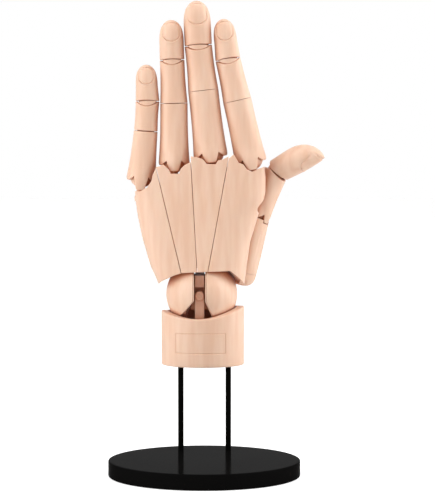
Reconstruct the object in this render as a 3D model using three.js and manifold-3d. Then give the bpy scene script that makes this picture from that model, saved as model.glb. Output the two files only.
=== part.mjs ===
// Jointed artist hand on a rod stand: a life-size left hand, fingers up, in millimetres.
// +Z is up, the back of the hand faces -Y, the thumb is on the +X side.
// The stand is drawn from its underside's centre, the hand from the centre of its wrist ball.
import * as THREE from 'three';
import Module from 'manifold-3d';
import { mergeVertices } from 'three/addons/utils/BufferGeometryUtils.js';

const wasm = await Module();
wasm.setup();

// Stand
const BASE_DIAMETER = 122;
const BASE_HEIGHT = 10;
const BASE_EDGE_RADIUS = 0.8;
const ROD_DIAMETER = 3.6;
const ROD_SPACING = 30.8;
const ROD_SHOWING = 56.2;
const ROD_IN_BASE = 6;
const ROD_IN_CUFF = 19;
const ROD_SETBACK = 40;

// Wrist
const BALL_RADIUS = 23;
const BALL_SIDE_OFFSET = -1.8;
const CUP_GAP = 0.9;
const CUFF_WALL = 2.85;
const CUFF_SIDE_OFFSET = 0.7;
const CUFF_DEPTH_SHARE = 0.82;
const CUFF_BELOW_BALL = 22.8;
const CUFF_RIM_SIDE_DROP = 9.2;
const CUFF_RIM_FRONT_DROP = 14.5;
const CUFF_RIM_LEAN = 1.4;
const CUFF_EDGE = 1;
const SLOT_WIDTH = 7.3;
const SLOT_SIDE_OFFSET = -1.3;
const SLOT_FLARE_DROP = 1.2;
const SLOT_FLARE_PINKY_SIDE = 38;
const SLOT_FLARE_THUMB_SIDE = 22;
const SLOT_FLARE_IN = 10;
const POST_GAP = 0.7;
const POST_BELOW_SKIN = 8.5;
const POST_CHEEK_THICKNESS = 4.5;
const POST_BRIDGE = 5;
const POST_IN_CUFF = 8;
const POST_REAR_FAN = 20;
const WRIST_LEAN = 16;
const WRIST_BEND = 30;
const CORE_BELOW_SKIN = 10;
const CORE_HALF_WIDTH = 5.5;
const CORE_WING_HEIGHT = 7.5;
const TRUNNION_RADIUS = 3.2;
const TRUNNION_REACH = 12;
const WRIST_PIN_RADIUS = 1.6;
const WRIST_PIN_HEAD_RADIUS = 3;
const WRIST_PIN_HEAD_HEIGHT = 1.6;

// Palm, with x and z measured from the ball's centre
const PALM_CENTRE_Y = 1;
const KNUCKLE_HALF_DEPTH_BACK = 12.6;
const KNUCKLE_HALF_DEPTH_FRONT = 12.5;
const WRIST_HALF_DEPTH_BACK = 21;
const WRIST_HALF_DEPTH_FRONT = 17;
const PALM_FLATNESS = 2.9;
const PALM_LOW = 4;
const PALM_HIGH = 96;
const SEAM_GAP = 0.6;
const SEAM_SLANT = 0.06;
const SEAM_SLANT_FROM = -14;
const PALM_PINKY_EDGE = [[4, -27.2], [18, -33.1], [35.6, -38.2], [50.1, -41.3], [60.7, -42.7], [96, -45]];
const PALM_THUMB_EDGE = [[4, 27.2], [17.6, 27.9], [34.1, 29.9], [54, 36.2], [61, 39.6], [96, 40.8]];
const SEAMS = {
  pinkyRing: [[-12.7, 14.7], [-29.5, 82.3]],
  ringMiddle: [[-2.6, 15.5], [-7, 85.6]],
  middleIndex: [[4.3, 15.7], [17.3, 89]],
};
const PALM_PINKY_CORNER = [-27.6, 6.7];
const PALM_PINKY_OUTSIDE = [-48, 30];
const PALM_THUMB_CORNER = [27.4, 6.9];
const PALM_THUMB_ARCH = [[18.4, 16.1], [23.5, 11.7]];
const PALM_THUMB_OUTSIDE = [42, 30];
const PALM_TOPS = {
  pinky: [[-48, 66.3], [-39.8, 66.9], [-35.3, 69.1], [-32.4, 73.3], [-31.3, 78.9]],
  ring: [[-24.7, 84.2], [-20.6, 79.4], [-14, 79.4], [-10.9, 83.9]],
  middle: [[-6.7, 89.2], [-2.3, 88.7], [3, 84.8], [9, 84.6], [12.7, 87.2]],
  index: [[20.5, 90.7], [23.6, 85.3], [26.7, 84.1], [32.2, 80.4], [41.5, 83.2]],
};

// Fingers: knuckle place [x, z] from the ball's centre, then for the proximal, middle and distal
// phalanx the lean toward the thumb in degrees and the length, then the widths at the knuckle,
// the two hinges and the tip, the tongue's length and the sideways swing in degrees
const FINGERS = {
  pinky: {
    knuckle: [-38.8, 75.7], leans: [5.4, 3.4, -2.4], lengths: [29.8, 19.1, 23.5],
    widths: [18.9, 15.3, 15.3, 14.1], tongue: 8, swing: [-10, 0],
  },
  ring: {
    knuckle: [-17.7, 85.8], leans: [-0.2, -2.4, -1.6], lengths: [37.4, 27.7, 25.7],
    widths: [19.7, 17.6, 15.9, 15.7], tongue: 6.2, swing: [-0.4, 0.1],
  },
  middle: {
    knuckle: [5.6, 91], leans: [-6.4, -6.4, -2.6], lengths: [40.8, 28.9, 28.6],
    widths: [21.7, 19.5, 17.6, 17.5], tongue: 5.8, swing: [-0.1, 0.6],
  },
  index: {
    knuckle: [31.3, 87.2], leans: [-12.6, -12.7, -7.2], lengths: [38.8, 27, 26],
    widths: [20.4, 18.4, 16.2, 14.8], tongue: 6.7, swing: [0, 10],
  },
};
const FINGER_DEPTH_SHARE = 0.95;
const MIDDLE_HINGE_BEND = 90;
const END_HINGE_BEND = 60;
const END_HINGE_LENS = 3;
const END_FOOT_LENS = 0.9;
const SEAM_LENS = 0.15;
const HINGE_GAP = 0.5;
const WAIST_SHARE = 0.965;
const TIP_ROUND_FROM = 0.42;
const TIP_ROUNDNESS = 2.8;
const TIP_BACK_SHARE = 0.3;

// Thumb: place of its base ball from the wrist ball's centre, sideways from the ball's skin, then
// leans, lengths and widths
const THUMB_BASE_SIDE = 3;
const THUMB_BASE_DEPTH = 9.5;
const THUMB_BASE_RISE = 14;
const THUMB_LEANS = [15.7, 23.7];
const THUMB_LENGTHS = [39.5, 29.2, 34.2];
const THUMB_BASE_RADIUS = 9.8;
const THUMB_BASE_DROP = 9.1;
const THUMB_BASE_ROUNDNESS = 3;
const THUMB_WIDTHS = [17.4, 16.8, 18.4];
const THUMB_TONGUE = 4.4;
const THUMB_ROLL = 60;
const THUMB_BACK_BEND = 40;
const THUMB_END_BEND = 40;
const THUMB_WEDGE = 6;
const THUMB_TIP_ROUNDNESS = 2.3;
const THUMB_TIP_BACK_SHARE = 0.9;
const THUMB_PALM_LIFT = 35;
const THUMB_TURN_GAP = 0.5;
const THUMB_BALL_RADIUS = 6;
const THUMB_KNUCKLE_BEND = 30;

// Hinges inside the fingers
const WALL = 1.6;
const RUNNING_GAP = 0.45;
const SEAT_GAP = 0.3;
const CHEEK_DROP = 2.4;
const NOTCH_RISE = 0.6;
const NOTCH_FOOT_SHARE = 0.16;
const NOTCH_HEAD_SHARE = 0.2;
const STEM_SHARE = 0.5;
const STEM_DEPTH = 1.8;
const BLADE_THICKNESS = 2.4;
const BLADE_SHARE = 0.6;
const BLADE_STALK_SHARE = 0.65;
const PIN_RADIUS = 1;
const PIN_SHARE = 0.72;
const LUG_RADIUS = 3.4;
const LUG_HALF_LENGTH = 4;
const LUG_COVER = 1;
const NECK_SHARE = 0.7;

// Fineness of the round forms
const SIDES = 20;
const LINK_SIDES = 10;
const LINK_BANDS = 6;
const PIN_SIDES = 8;
const BALL_SIDES = 28;
const BALL_BANDS = 16;
const FINEST = 0.01;

const skin = new THREE.MeshStandardMaterial({ color: 0xf0c9ad, roughness: 0.55, metalness: 0 });
const blackGloss = new THREE.MeshStandardMaterial({ color: 0x0a0a0a, roughness: 0.12, metalness: 0 });
const blackPaint = new THREE.MeshStandardMaterial({ color: 0x0d0d0d, roughness: 0.4, metalness: 0.2 });

const radians = THREE.MathUtils.degToRad;
const tangent = (degrees) => Math.tan(radians(degrees));

// Solids and meshes

function solidOf(geometry) {
  const plain = geometry.clone();
  plain.deleteAttribute('normal');
  plain.deleteAttribute('uv');
  const merged = mergeVertices(plain, 1e-4);
  return new wasm.Manifold(new wasm.Mesh({
    numProp: 3,
    vertProperties: new Float32Array(merged.attributes.position.array),
    triVerts: new Uint32Array(merged.index.array),
  }));
}

function geometryOf(solid) {
  const { vertProperties, triVerts } = solid.getMesh();
  const geometry = new THREE.BufferGeometry();
  geometry.setAttribute('position', new THREE.BufferAttribute(vertProperties, 3));
  geometry.setIndex(new THREE.BufferAttribute(triVerts, 1));
  geometry.computeVertexNormals();
  return geometry;
}

const join = (solids) => solids.reduce((whole, solid) => whole.add(solid));
const cut = (solid, tools) => tools.reduce((rest, tool) => rest.subtract(tool), solid);
const larger = (one, other) => (other.volume() > one.volume() ? other : one);
const largestOf = (solid) => solid.decompose().reduce(larger);

function placed(geometry, x = 0, y = 0, z = 0) {
  return solidOf(geometry.translate(x, y, z));
}

function box(width, depth, height, x = 0, y = 0, z = 0) {
  return placed(new THREE.BoxGeometry(width, depth, height), x, y, z);
}

function boxBetween(low, high) {
  const size = high.map((value, axis) => value - low[axis]);
  const middle = high.map((value, axis) => (value + low[axis]) / 2);
  return box(...size, ...middle);
}

function rodAlongX(radius, halfLength, sides) {
  return solidOf(new THREE.CylinderGeometry(radius, radius, 2 * halfLength, sides).rotateZ(Math.PI / 2));
}

function rodAlongY(radius, halfLength, sides) {
  return solidOf(new THREE.CylinderGeometry(radius, radius, 2 * halfLength, sides));
}

function ovalColumn(halfWidth, halfDepth, low, high, sides) {
  const column = new THREE.CylinderGeometry(1, 1, high - low, sides).rotateX(Math.PI / 2);
  return placed(column.scale(halfWidth, halfDepth, 1), 0, 0, (low + high) / 2);
}

function ball(radius, across = BALL_SIDES, bands = BALL_BANDS) {
  return solidOf(new THREE.SphereGeometry(radius, across, bands));
}

// A plate with the given [x, z] outline, between two depths
function plateSolid(outline, front, back) {
  const shape = new THREE.Shape(outline.map(([x, z]) => new THREE.Vector2(x, z)));
  const plate = new THREE.ExtrudeGeometry(shape, { depth: back - front, bevelEnabled: false });
  return placed(plate.rotateX(Math.PI / 2), 0, back, 0);
}

// A closed skin from a pole through rings of equal count to another pole
function ringedSolid(rings, firstPole, lastPole) {
  const count = rings[0].length;
  const points = [firstPole, ...rings.flat(), lastPole];
  const faces = [];
  const at = (ring, side) => 1 + ring * count + (side % count);
  const last = points.length - 1;
  for (let side = 0; side < count; side++) {
    faces.push(0, at(0, side + 1), at(0, side));
    for (let ring = 0; ring < rings.length - 1; ring++) {
      faces.push(at(ring, side), at(ring, side + 1), at(ring + 1, side + 1));
      faces.push(at(ring, side), at(ring + 1, side + 1), at(ring + 1, side));
    }
    faces.push(last, at(rings.length - 1, side), at(rings.length - 1, side + 1));
  }
  const geometry = new THREE.BufferGeometry();
  geometry.setAttribute('position', new THREE.Float32BufferAttribute(points.flat(), 3));
  geometry.setIndex(faces);
  geometry.computeVertexNormals();
  return geometry;
}

// Straight runs between [place, value] stations
function between(stations, place) {
  const next = stations.findIndex((station) => station[0] > place);
  if (next === 0) {
    return stations[0][1];
  }
  if (next < 0) {
    return stations[stations.length - 1][1];
  }
  const [start, from] = stations[next - 1];
  const [end, to] = stations[next];
  return from + (to - from) * (place - start) / (end - start);
}

// A frame at a place, with z along a limb, y toward its palm side and x across
function limbFrame([x, y, z], along, palmward) {
  const across = new THREE.Vector3().crossVectors(palmward, along).normalize();
  const toPalm = new THREE.Vector3().crossVectors(along, across).normalize();
  return new THREE.Matrix4().makeBasis(across, toPalm, along).setPosition(x, y, z);
}

function leaning(degrees) {
  return new THREE.Vector3(Math.sin(radians(degrees)), 0, Math.cos(radians(degrees)));
}

function mesh(name, geometry, material) {
  const made = new THREE.Mesh(geometry, material);
  made.name = name;
  return made;
}

const meshOf = (name, solid, material = skin) => mesh(name, geometryOf(solid), material);

function groupAt(parent, matrix) {
  const group = new THREE.Group();
  matrix.decompose(group.position, group.quaternion, group.scale);
  parent.add(group);
  return group;
}

// Hinge ends. A hinge's frame has z along the finger, y toward the palm and x along the hinge's pin.
// An end is { width, depth, gap, lens, backBend, palmBend, sideLean, tongue }.

function hingeEnd(width, palmBend, extra = {}) {
  const depth = width * FINGER_DEPTH_SHARE;
  return {
    width, depth, gap: HINGE_GAP, lens: SEAM_LENS, backBend: 0, palmBend, sideLean: 0, tongue: 0, ...extra,
  };
}

// Height that the rim at the knuckle keeps from the knuckle's pin: a tongue over its back, a notch
// on each side of the tongue, a cheek beside each notch and an arch on the palm side
function tongueRim(turn, end) {
  const arch = NECK_SHARE * end.depth / 2;
  const stations = [
    [0, -end.tongue], [17, -end.tongue], [29, NOTCH_RISE], [54, -CHEEK_DROP], [75, -CHEEK_DROP],
    [90, -CHEEK_DROP / 2], [120, arch * 0.6], [150, arch], [180, arch],
  ];
  return between(stations, turn);
}

// How far a rim stays back from its hinge's pin, at a place on the section
function rimRetreat(end, x, y, angle) {
  if (end.tongue) {
    const fromBack = THREE.MathUtils.euclideanModulo(THREE.MathUtils.radToDeg(angle) + 90, 360);
    return tongueRim(Math.min(fromBack, 360 - fromBack), end);
  }
  const level = end.gap / 2 + x * tangent(end.sideLean);
  if (y < 0) {
    const share = y / (end.depth / 2);
    return level + end.lens * share * share - y * tangent(end.backBend);
  }
  return level + y * tangent(end.palmBend);
}

const pocketOf = (end) => ({ width: end.width / 2 - WALL, depth: end.depth / 2 - WALL });

const anglesOf = (count) => Array.from({ length: count }, (_, side) => 2 * Math.PI * side / count);
const sideAngles = anglesOf(SIDES);

function ring(halfWidth, halfDepth, heightAt) {
  return sideAngles.map((angle) => {
    const x = halfWidth * Math.cos(angle);
    const y = halfDepth * Math.sin(angle);
    return [x, y, heightAt(x, y, angle)];
  });
}

// Rings of the hollow that a hinge's barrel turns in, from the rim's inner edge inward; the heights
// count from the pin into the piece
function pocketRings(end) {
  const pocket = pocketOf(end);
  const rings = [ring(pocket.width, pocket.depth, (x, y, angle) => rimRetreat(end, x, y, angle))];
  const domeRing = (climb) => {
    const share = Math.cos(radians(climb));
    return ring(share * pocket.width, share * pocket.depth, (x, y, angle) => Math.max(
      pocket.depth * Math.sin(radians(climb)), rimRetreat(end, x, y, angle),
    ));
  };
  const climbs = end.tongue ? [4, 30, 60] : [30, 60];
  return [...rings, ...climbs.map(domeRing)];
}

// One phalanx: rim to rim, or rim to tip, with a barrel pocket in each hinged end
function phalanx(lower, upper, length, girthAt) {
  const topAt = (x, y, angle) => length - (upper ? rimRetreat(upper, x, y, angle) : 0);
  const shares = upper ? [0, 0.25, 0.75, 1] : [0, 0.3, 0.55, 0.75, 0.89, 0.97];
  const skinRings = shares.map((share) => sideAngles.map((angle) => {
    const lowSize = girthAt(0);
    const highSize = girthAt(length);
    const low = rimRetreat(lower, lowSize[0] * Math.cos(angle), lowSize[1] * Math.sin(angle), angle);
    const high = topAt(highSize[0] * Math.cos(angle), highSize[1] * Math.sin(angle), angle);
    const z = low + (high - low) * share;
    const [halfWidth, halfDepth, shift] = girthAt(z);
    return [halfWidth * Math.cos(angle), halfDepth * Math.sin(angle) + shift, z];
  }));
  const lowPocket = pocketOf(lower);
  const inward = pocketRings(lower).reverse();
  const lowPole = [0, 0, lowPocket.depth];
  if (!upper) {
    return solidOf(ringedSolid([...inward, ...skinRings], lowPole, [0, girthAt(length)[2], length]));
  }
  const highPocket = pocketOf(upper);
  const hole = ring(STEM_SHARE * highPocket.width, STEM_SHARE * highPocket.depth, () => stemFloor(upper));
  const downward = [...pocketRings(upper), hole]
    .map((points) => points.map(([x, y, z]) => [x, y, length - z]));
  const highPole = [0, 0, length - stemFloor(upper)];
  return solidOf(ringedSolid([...inward, ...skinRings, ...downward], lowPole, highPole));
}

const stemFloor = (end) => pocketOf(end).depth + STEM_DEPTH;
const bladeRadius = (end) => BLADE_SHARE * (pocketOf(end).depth - RUNNING_GAP);
const bladeHalfDepth = (end) => bladeRadius(end) * BLADE_STALK_SHARE;

// Blade inside the upper piece of a hinge: a round eye on the pin and a root in the pocket's dome
function blade(end) {
  const root = pocketOf(end).depth + WALL / 2;
  const half = bladeHalfDepth(end);
  const eye = rodAlongX(bladeRadius(end), BLADE_THICKNESS / 2, LINK_SIDES);
  const stalk = boxBetween([-BLADE_THICKNESS / 2, -half, 0], [BLADE_THICKNESS / 2, half, root]);
  return eye.add(stalk).subtract(rodAlongX(PIN_RADIUS + SEAT_GAP, BLADE_THICKNESS, PIN_SIDES));
}

// Barrel on the lower piece of a hinge, slotted for the blade and bored for the pin
function barrel(end) {
  const pocket = pocketOf(end);
  const halfWidth = pocket.width - RUNNING_GAP;
  const radius = pocket.depth - RUNNING_GAP;
  const round = solidOf(new THREE.SphereGeometry(1, LINK_SIDES, LINK_BANDS).scale(halfWidth, radius, radius));
  return { round, slots: barrelSlots(end), halfWidth, radius };
}

function barrelSlots(end) {
  const halfSlot = BLADE_THICKNESS / 2 + SEAT_GAP;
  const reach = end.depth;
  const half = bladeHalfDepth(end) + SEAT_GAP;
  return [
    rodAlongX(bladeRadius(end) + SEAT_GAP, halfSlot, LINK_SIDES),
    boxBetween([-halfSlot, -half, -half], [halfSlot, reach, reach]),
    rodAlongX(PIN_RADIUS + SEAT_GAP / 2, pinHalfLength(end) + SEAT_GAP, PIN_SIDES),
  ];
}

const pinHalfLength = (end) => PIN_SHARE * (pocketOf(end).width - RUNNING_GAP);
const pin = (end) => rodAlongX(PIN_RADIUS, pinHalfLength(end), PIN_SIDES);

// Link: the barrel with a stem that stands in the lower piece's pocket. The barrel lies in the upper
// piece's frame and the stem in the lower one's, which the given turn leads to the upper one.
function link(end, turn) {
  const pocket = pocketOf(end);
  const { round, slots, radius } = barrel(end);
  const stem = ovalColumn(STEM_SHARE * pocket.width - RUNNING_GAP, STEM_SHARE * pocket.depth - RUNNING_GAP,
    -stemFloor(end) + SEAT_GAP, -radius * 0.6, LINK_SIDES);
  return cut(round.add(stem.transform(turn.clone().invert().elements)), slots);
}

// Distance from the knuckle's pin down to the lug that swings in the palm
const lugDrop = (end) => end.depth / 2 + RUNNING_GAP + LUG_RADIUS + LUG_COVER;

function knuckle(end) {
  const { round, slots } = barrel(end);
  const drop = lugDrop(end);
  const halfNeck = NECK_SHARE * LUG_RADIUS;
  const neck = boxBetween([-halfNeck, -LUG_RADIUS, -drop], [halfNeck, LUG_RADIUS, -end.depth * 0.3]);
  const lug = rodAlongY(LUG_RADIUS, LUG_HALF_LENGTH, LINK_SIDES).translate([0, 0, -drop]);
  return cut(join([round, neck, lug]), slots);
}

// Room that a finger's foot, its knuckle and its full bend need in what carries them
function fingerRoom(end, swingAngle) {
  const halfWidth = end.width / 2 + RUNNING_GAP;
  const halfDepth = end.depth / 2 + RUNNING_GAP;
  const reach = 2 * end.depth;
  const room = join([
    rodAlongX(halfDepth, halfWidth, SIDES),
    ovalColumn(halfWidth, halfDepth, 0, reach, SIDES),
    boxBetween([-halfWidth, 0, -halfDepth], [halfWidth, reach, reach]),
    tongueRoom(end),
    lugRoom(end),
  ]);
  const drop = lugDrop(end);
  return room.translate([0, 0, drop]).rotate([0, swingAngle, 0]).translate([0, 0, -drop]);
}

function tongueRoom(end) {
  const foot = end.width * NOTCH_FOOT_SHARE + RUNNING_GAP;
  const head = end.width * NOTCH_HEAD_SHARE + RUNNING_GAP;
  const low = -end.tongue - RUNNING_GAP;
  return plateSolid([[-foot, low], [foot, low], [head, 0], [-head, 0]], -2 * end.depth, 0);
}

function lugRoom(end) {
  const drop = lugDrop(end);
  const halfNeck = NECK_SHARE * LUG_RADIUS + SEAT_GAP;
  const depth = LUG_RADIUS + SEAT_GAP;
  return boxBetween([-halfNeck, -depth, -drop], [halfNeck, depth, 0])
    .add(rodAlongY(depth, LUG_HALF_LENGTH + SEAT_GAP, LINK_SIDES).translate([0, 0, -drop]));
}

// Half width and half depth along a phalanx, with a slight waist
function waisted(lowWidth, highWidth, length) {
  return (z) => {
    const share = THREE.MathUtils.clamp(z / length, 0, 1);
    const width = lowWidth + (highWidth - lowWidth) * share;
    const waist = 1 - (1 - WAIST_SHARE) * Math.sin(Math.PI * share);
    return [width / 2 * waist, width / 2 * waist * FINGER_DEPTH_SHARE, 0];
  };
}

// Half width, half depth and shift along a distal phalanx: a taper that closes in a round tip, which
// stays toward the back while the pad curves up to it
function tipped(lowWidth, tipWidth, length, roundness = TIP_ROUNDNESS, backShare = TIP_BACK_SHARE) {
  return (z) => {
    const share = THREE.MathUtils.clamp(z / length, 0, 1);
    const width = lowWidth + (tipWidth - lowWidth) * Math.min(1, share / TIP_ROUND_FROM);
    const past = Math.max(0, (share - TIP_ROUND_FROM) / (1 - TIP_ROUND_FROM));
    const close = Math.sqrt(Math.max(0, 1 - past ** roundness));
    const halfDepth = width / 2 * FINGER_DEPTH_SHARE;
    return [width / 2 * close, halfDepth * close, -backShare * halfDepth * (1 - close)];
  };
}

// Stand

function baseDisc() {
  const radius = BASE_DIAMETER / 2;
  const bend = BASE_EDGE_RADIUS;
  const profile = [
    [0, 0], [radius - bend, 0], [radius, bend], [radius, BASE_HEIGHT - bend], [radius - bend, BASE_HEIGHT],
    [0, BASE_HEIGHT],
  ].map(([x, y]) => new THREE.Vector2(x, y));
  const disc = solidOf(new THREE.LatheGeometry(profile, 64).rotateX(Math.PI / 2));
  const sockets = rodPlaces().map((x) => ovalColumn(ROD_DIAMETER / 2 + SEAT_GAP / 2,
    ROD_DIAMETER / 2 + SEAT_GAP / 2, BASE_HEIGHT - ROD_IN_BASE, BASE_HEIGHT + 1, LINK_SIDES)
    .translate([x, ROD_SETBACK, 0]));
  return cut(disc, sockets);
}

const rodPlaces = () => [-ROD_SPACING / 2, ROD_SPACING / 2];
const cuffFoot = BASE_HEIGHT + ROD_SHOWING;
const ballHeight = cuffFoot + CUFF_BELOW_BALL + BALL_RADIUS;

function rod(x) {
  const foot = BASE_HEIGHT - ROD_IN_BASE;
  return ovalColumn(ROD_DIAMETER / 2, ROD_DIAMETER / 2, foot, cuffFoot + ROD_IN_CUFF, LINK_SIDES)
    .translate([x, ROD_SETBACK, 0]);
}

// Wrist, drawn from the ball's centre

const cupRadius = BALL_RADIUS + CUP_GAP;
const cuffBottom = -(CUFF_BELOW_BALL + BALL_RADIUS);
const cuffHalfWidth = cupRadius + CUFF_WALL;
const slotHalf = SLOT_WIDTH / 2;
const postHalf = slotHalf - POST_GAP;
const postOuter = BALL_RADIUS - POST_BELOW_SKIN;
const cheekInner = postOuter - POST_CHEEK_THICKNESS;
const coreInner = cheekInner - RUNNING_GAP;
const coreRadius = BALL_RADIUS - CORE_BELOW_SKIN;

function cuff() {
  const halfDepth = cuffHalfWidth * CUFF_DEPTH_SHARE;
  const rimAt = (angle) => -CUFF_RIM_FRONT_DROP + CUFF_RIM_LEAN * Math.cos(angle)
    + (CUFF_RIM_FRONT_DROP - CUFF_RIM_SIDE_DROP) * Math.cos(angle) ** 2;
  const angles = anglesOf(BALL_SIDES);
  const outer = (inset, heightAt) => angles.map((angle) => [
    CUFF_SIDE_OFFSET + (cuffHalfWidth - inset) * Math.cos(angle), (halfDepth - inset) * Math.sin(angle),
    heightAt(angle),
  ]);
  const cup = (share) => angles.map((angle) => {
    const climb = Math.asin(-rimAt(angle) / cupRadius);
    const turn = climb + (Math.PI / 2 - climb) * share;
    const reach = cupRadius * Math.cos(turn);
    return [reach * Math.cos(angle), reach * Math.sin(angle), -cupRadius * Math.sin(turn)];
  });
  const rings = [
    outer(CUFF_EDGE, () => cuffBottom), outer(0, () => cuffBottom + CUFF_EDGE),
    outer(0, (angle) => (cuffBottom + rimAt(angle)) / 2), outer(0, (angle) => rimAt(angle) - CUFF_EDGE),
    outer(CUFF_EDGE, rimAt), cup(0), cup(0.25), cup(0.5), cup(0.75),
  ];
  const body = solidOf(ringedSolid(rings, [CUFF_SIDE_OFFSET, 0, cuffBottom], [0, 0, -cupRadius]));
  const bore = ROD_DIAMETER / 2 + SEAT_GAP / 2;
  const boreTop = cuffBottom + ROD_IN_CUFF + SEAT_GAP;
  const bores = rodPlaces().map((x) => ovalColumn(bore, bore, cuffBottom - 1, boreTop, LINK_SIDES)
    .translate([x - BALL_SIDE_OFFSET, 0, 0]));
  const footWell = boxBetween(
    [SLOT_SIDE_OFFSET - postHalf - SEAT_GAP, -postOuter - SEAT_GAP, -BALL_RADIUS - POST_IN_CUFF - SEAT_GAP],
    [SLOT_SIDE_OFFSET + postHalf + SEAT_GAP, postOuter + SEAT_GAP, 0],
  );
  return cut(body, [...bores, footWell]);
}

// Outline that widens downward from the pin by an angle on each side
function fanOutline(half, low, degrees, top = 0) {
  const spread = half - low * tangent(degrees);
  return [[-half, top], [-half, 0], [-spread, low], [spread, low], [half, 0], [half, top]];
}

// Fork that stands in the cuff and carries the wrist's front-to-back pin between two cheeks
function wristPost() {
  const bridgeTop = -BALL_RADIUS + POST_BRIDGE;
  const foot = boxBetween(
    [-postHalf, -postOuter, -BALL_RADIUS - POST_IN_CUFF], [postHalf, postOuter, bridgeTop],
  );
  const cheeks = [-1, 1].flatMap((side) => {
    const middle = side * (cheekInner + postOuter) / 2;
    const fan = side < 0 ? 0 : POST_REAR_FAN;
    return [
      plateSolid(fanOutline(postHalf, bridgeTop, fan), middle - POST_CHEEK_THICKNESS / 2,
        middle + POST_CHEEK_THICKNESS / 2),
      rodAlongY(postHalf, POST_CHEEK_THICKNESS / 2, LINK_SIDES).translate([0, middle, 0]),
    ];
  });
  const bore = rodAlongY(WRIST_PIN_RADIUS + SEAT_GAP / 2, BALL_RADIUS, LINK_SIDES);
  const fork = join(cheeks).intersect(ball(BALL_RADIUS));
  return foot.add(fork).subtract(bore).translate([SLOT_SIDE_OFFSET, 0, 0]);
}

// Block between the cheeks, round about the trunnions that carry the halves of the ball, with wings
// before and behind its head
function wristCore() {
  const drum = rodAlongX(coreRadius, CORE_HALF_WIDTH, BALL_SIDES).intersect(
    boxBetween([-CORE_HALF_WIDTH, -coreInner, -coreInner], [CORE_HALF_WIDTH, coreInner, coreRadius]),
  );
  const wings = boxBetween(
    [-postHalf, -postOuter, coreRadius - CORE_WING_HEIGHT], [postHalf, postOuter, coreRadius],
  );
  const trunnions = rodAlongX(TRUNNION_RADIUS, TRUNNION_REACH, LINK_SIDES);
  const bore = rodAlongY(WRIST_PIN_RADIUS + SEAT_GAP / 2, BALL_RADIUS, LINK_SIDES);
  return join([drum, wings, trunnions]).subtract(bore).translate([SLOT_SIDE_OFFSET, 0, 0]);
}

function wristPin() {
  const shaft = rodAlongY(WRIST_PIN_RADIUS, postOuter, LINK_SIDES);
  const head = rodAlongY(WRIST_PIN_HEAD_RADIUS, WRIST_PIN_HEAD_HEIGHT / 2, LINK_SIDES);
  const shift = postOuter + SEAT_GAP + WRIST_PIN_HEAD_HEIGHT / 2;
  const heads = [-1, 1].map((side) => head.translate([0, side * shift, 0]));
  const ends = [-1, 1].map((side) => rodAlongY(WRIST_PIN_RADIUS, SEAT_GAP, LINK_SIDES)
    .translate([0, side * (postOuter + SEAT_GAP / 2), 0]));
  return join([shaft, ...ends, ...heads]).translate([SLOT_SIDE_OFFSET, 0, 0]);
}

// The slot through the ball, flared below for the swing about the pin
function ballSlot() {
  const reach = BALL_RADIUS + 1;
  const low = -SLOT_FLARE_DROP;
  const spread = (degrees) => slotHalf + (reach + low) * tangent(degrees);
  const slot = boxBetween([-slotHalf, -reach, low], [slotHalf, reach, reach]);
  const flare = plateSolid([
    [-slotHalf, 0], [-slotHalf, low], [-spread(SLOT_FLARE_PINKY_SIDE), -reach],
    [spread(SLOT_FLARE_THUMB_SIDE), -reach], [slotHalf, low], [slotHalf, 0],
  ], -reach, -BALL_RADIUS + SLOT_FLARE_IN);
  return slot.add(flare).translate([SLOT_SIDE_OFFSET, 0, 0]);
}

// Room for the post inside the ball through the wrist's lean and bend
function postRooms() {
  const reach = BALL_RADIUS + POST_IN_CUFF;
  const half = slotHalf;
  const halfDepth = postOuter + POST_GAP;
  const front = plateSolid(fanOutline(half, -reach, WRIST_LEAN, half), -halfDepth, 0);
  const rearFan = WRIST_LEAN + POST_REAR_FAN;
  const rear = plateSolid(fanOutline(half, -reach, rearFan, half), coreInner, halfDepth);
  const middle = plateSolid(fanOutline(half, -reach, WRIST_LEAN, half), 0, cheekInner);
  const room = join([front, middle, rear]);
  return [-1, -0.5, 0, 0.5, 1].map((share) => room.rotate([share * WRIST_BEND, 0, 0])
    .translate([SLOT_SIDE_OFFSET, 0, 0]));
}

// One half of the wrist ball: side -1 is the pinky's, side 1 the thumb's
function ballHalf(side) {
  const reach = BALL_RADIUS + 1;
  const bore = rodAlongX(TRUNNION_RADIUS + SEAT_GAP, TRUNNION_REACH + SEAT_GAP, LINK_SIDES);
  const drum = rodAlongX(coreRadius + RUNNING_GAP, CORE_HALF_WIDTH + RUNNING_GAP, BALL_SIDES);
  const inside = bore.add(drum).translate([SLOT_SIDE_OFFSET, 0, 0]);
  const half = ball(BALL_RADIUS).intersect(side < 0
    ? boxBetween([-reach, -reach, -reach], [SLOT_SIDE_OFFSET, reach, reach])
    : boxBetween([SLOT_SIDE_OFFSET, -reach, -reach], [reach, reach, reach]));
  return largestOf(cut(half, [ballSlot(), inside, ...postRooms()]).simplify(FINEST));
}

// Palm

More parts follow.
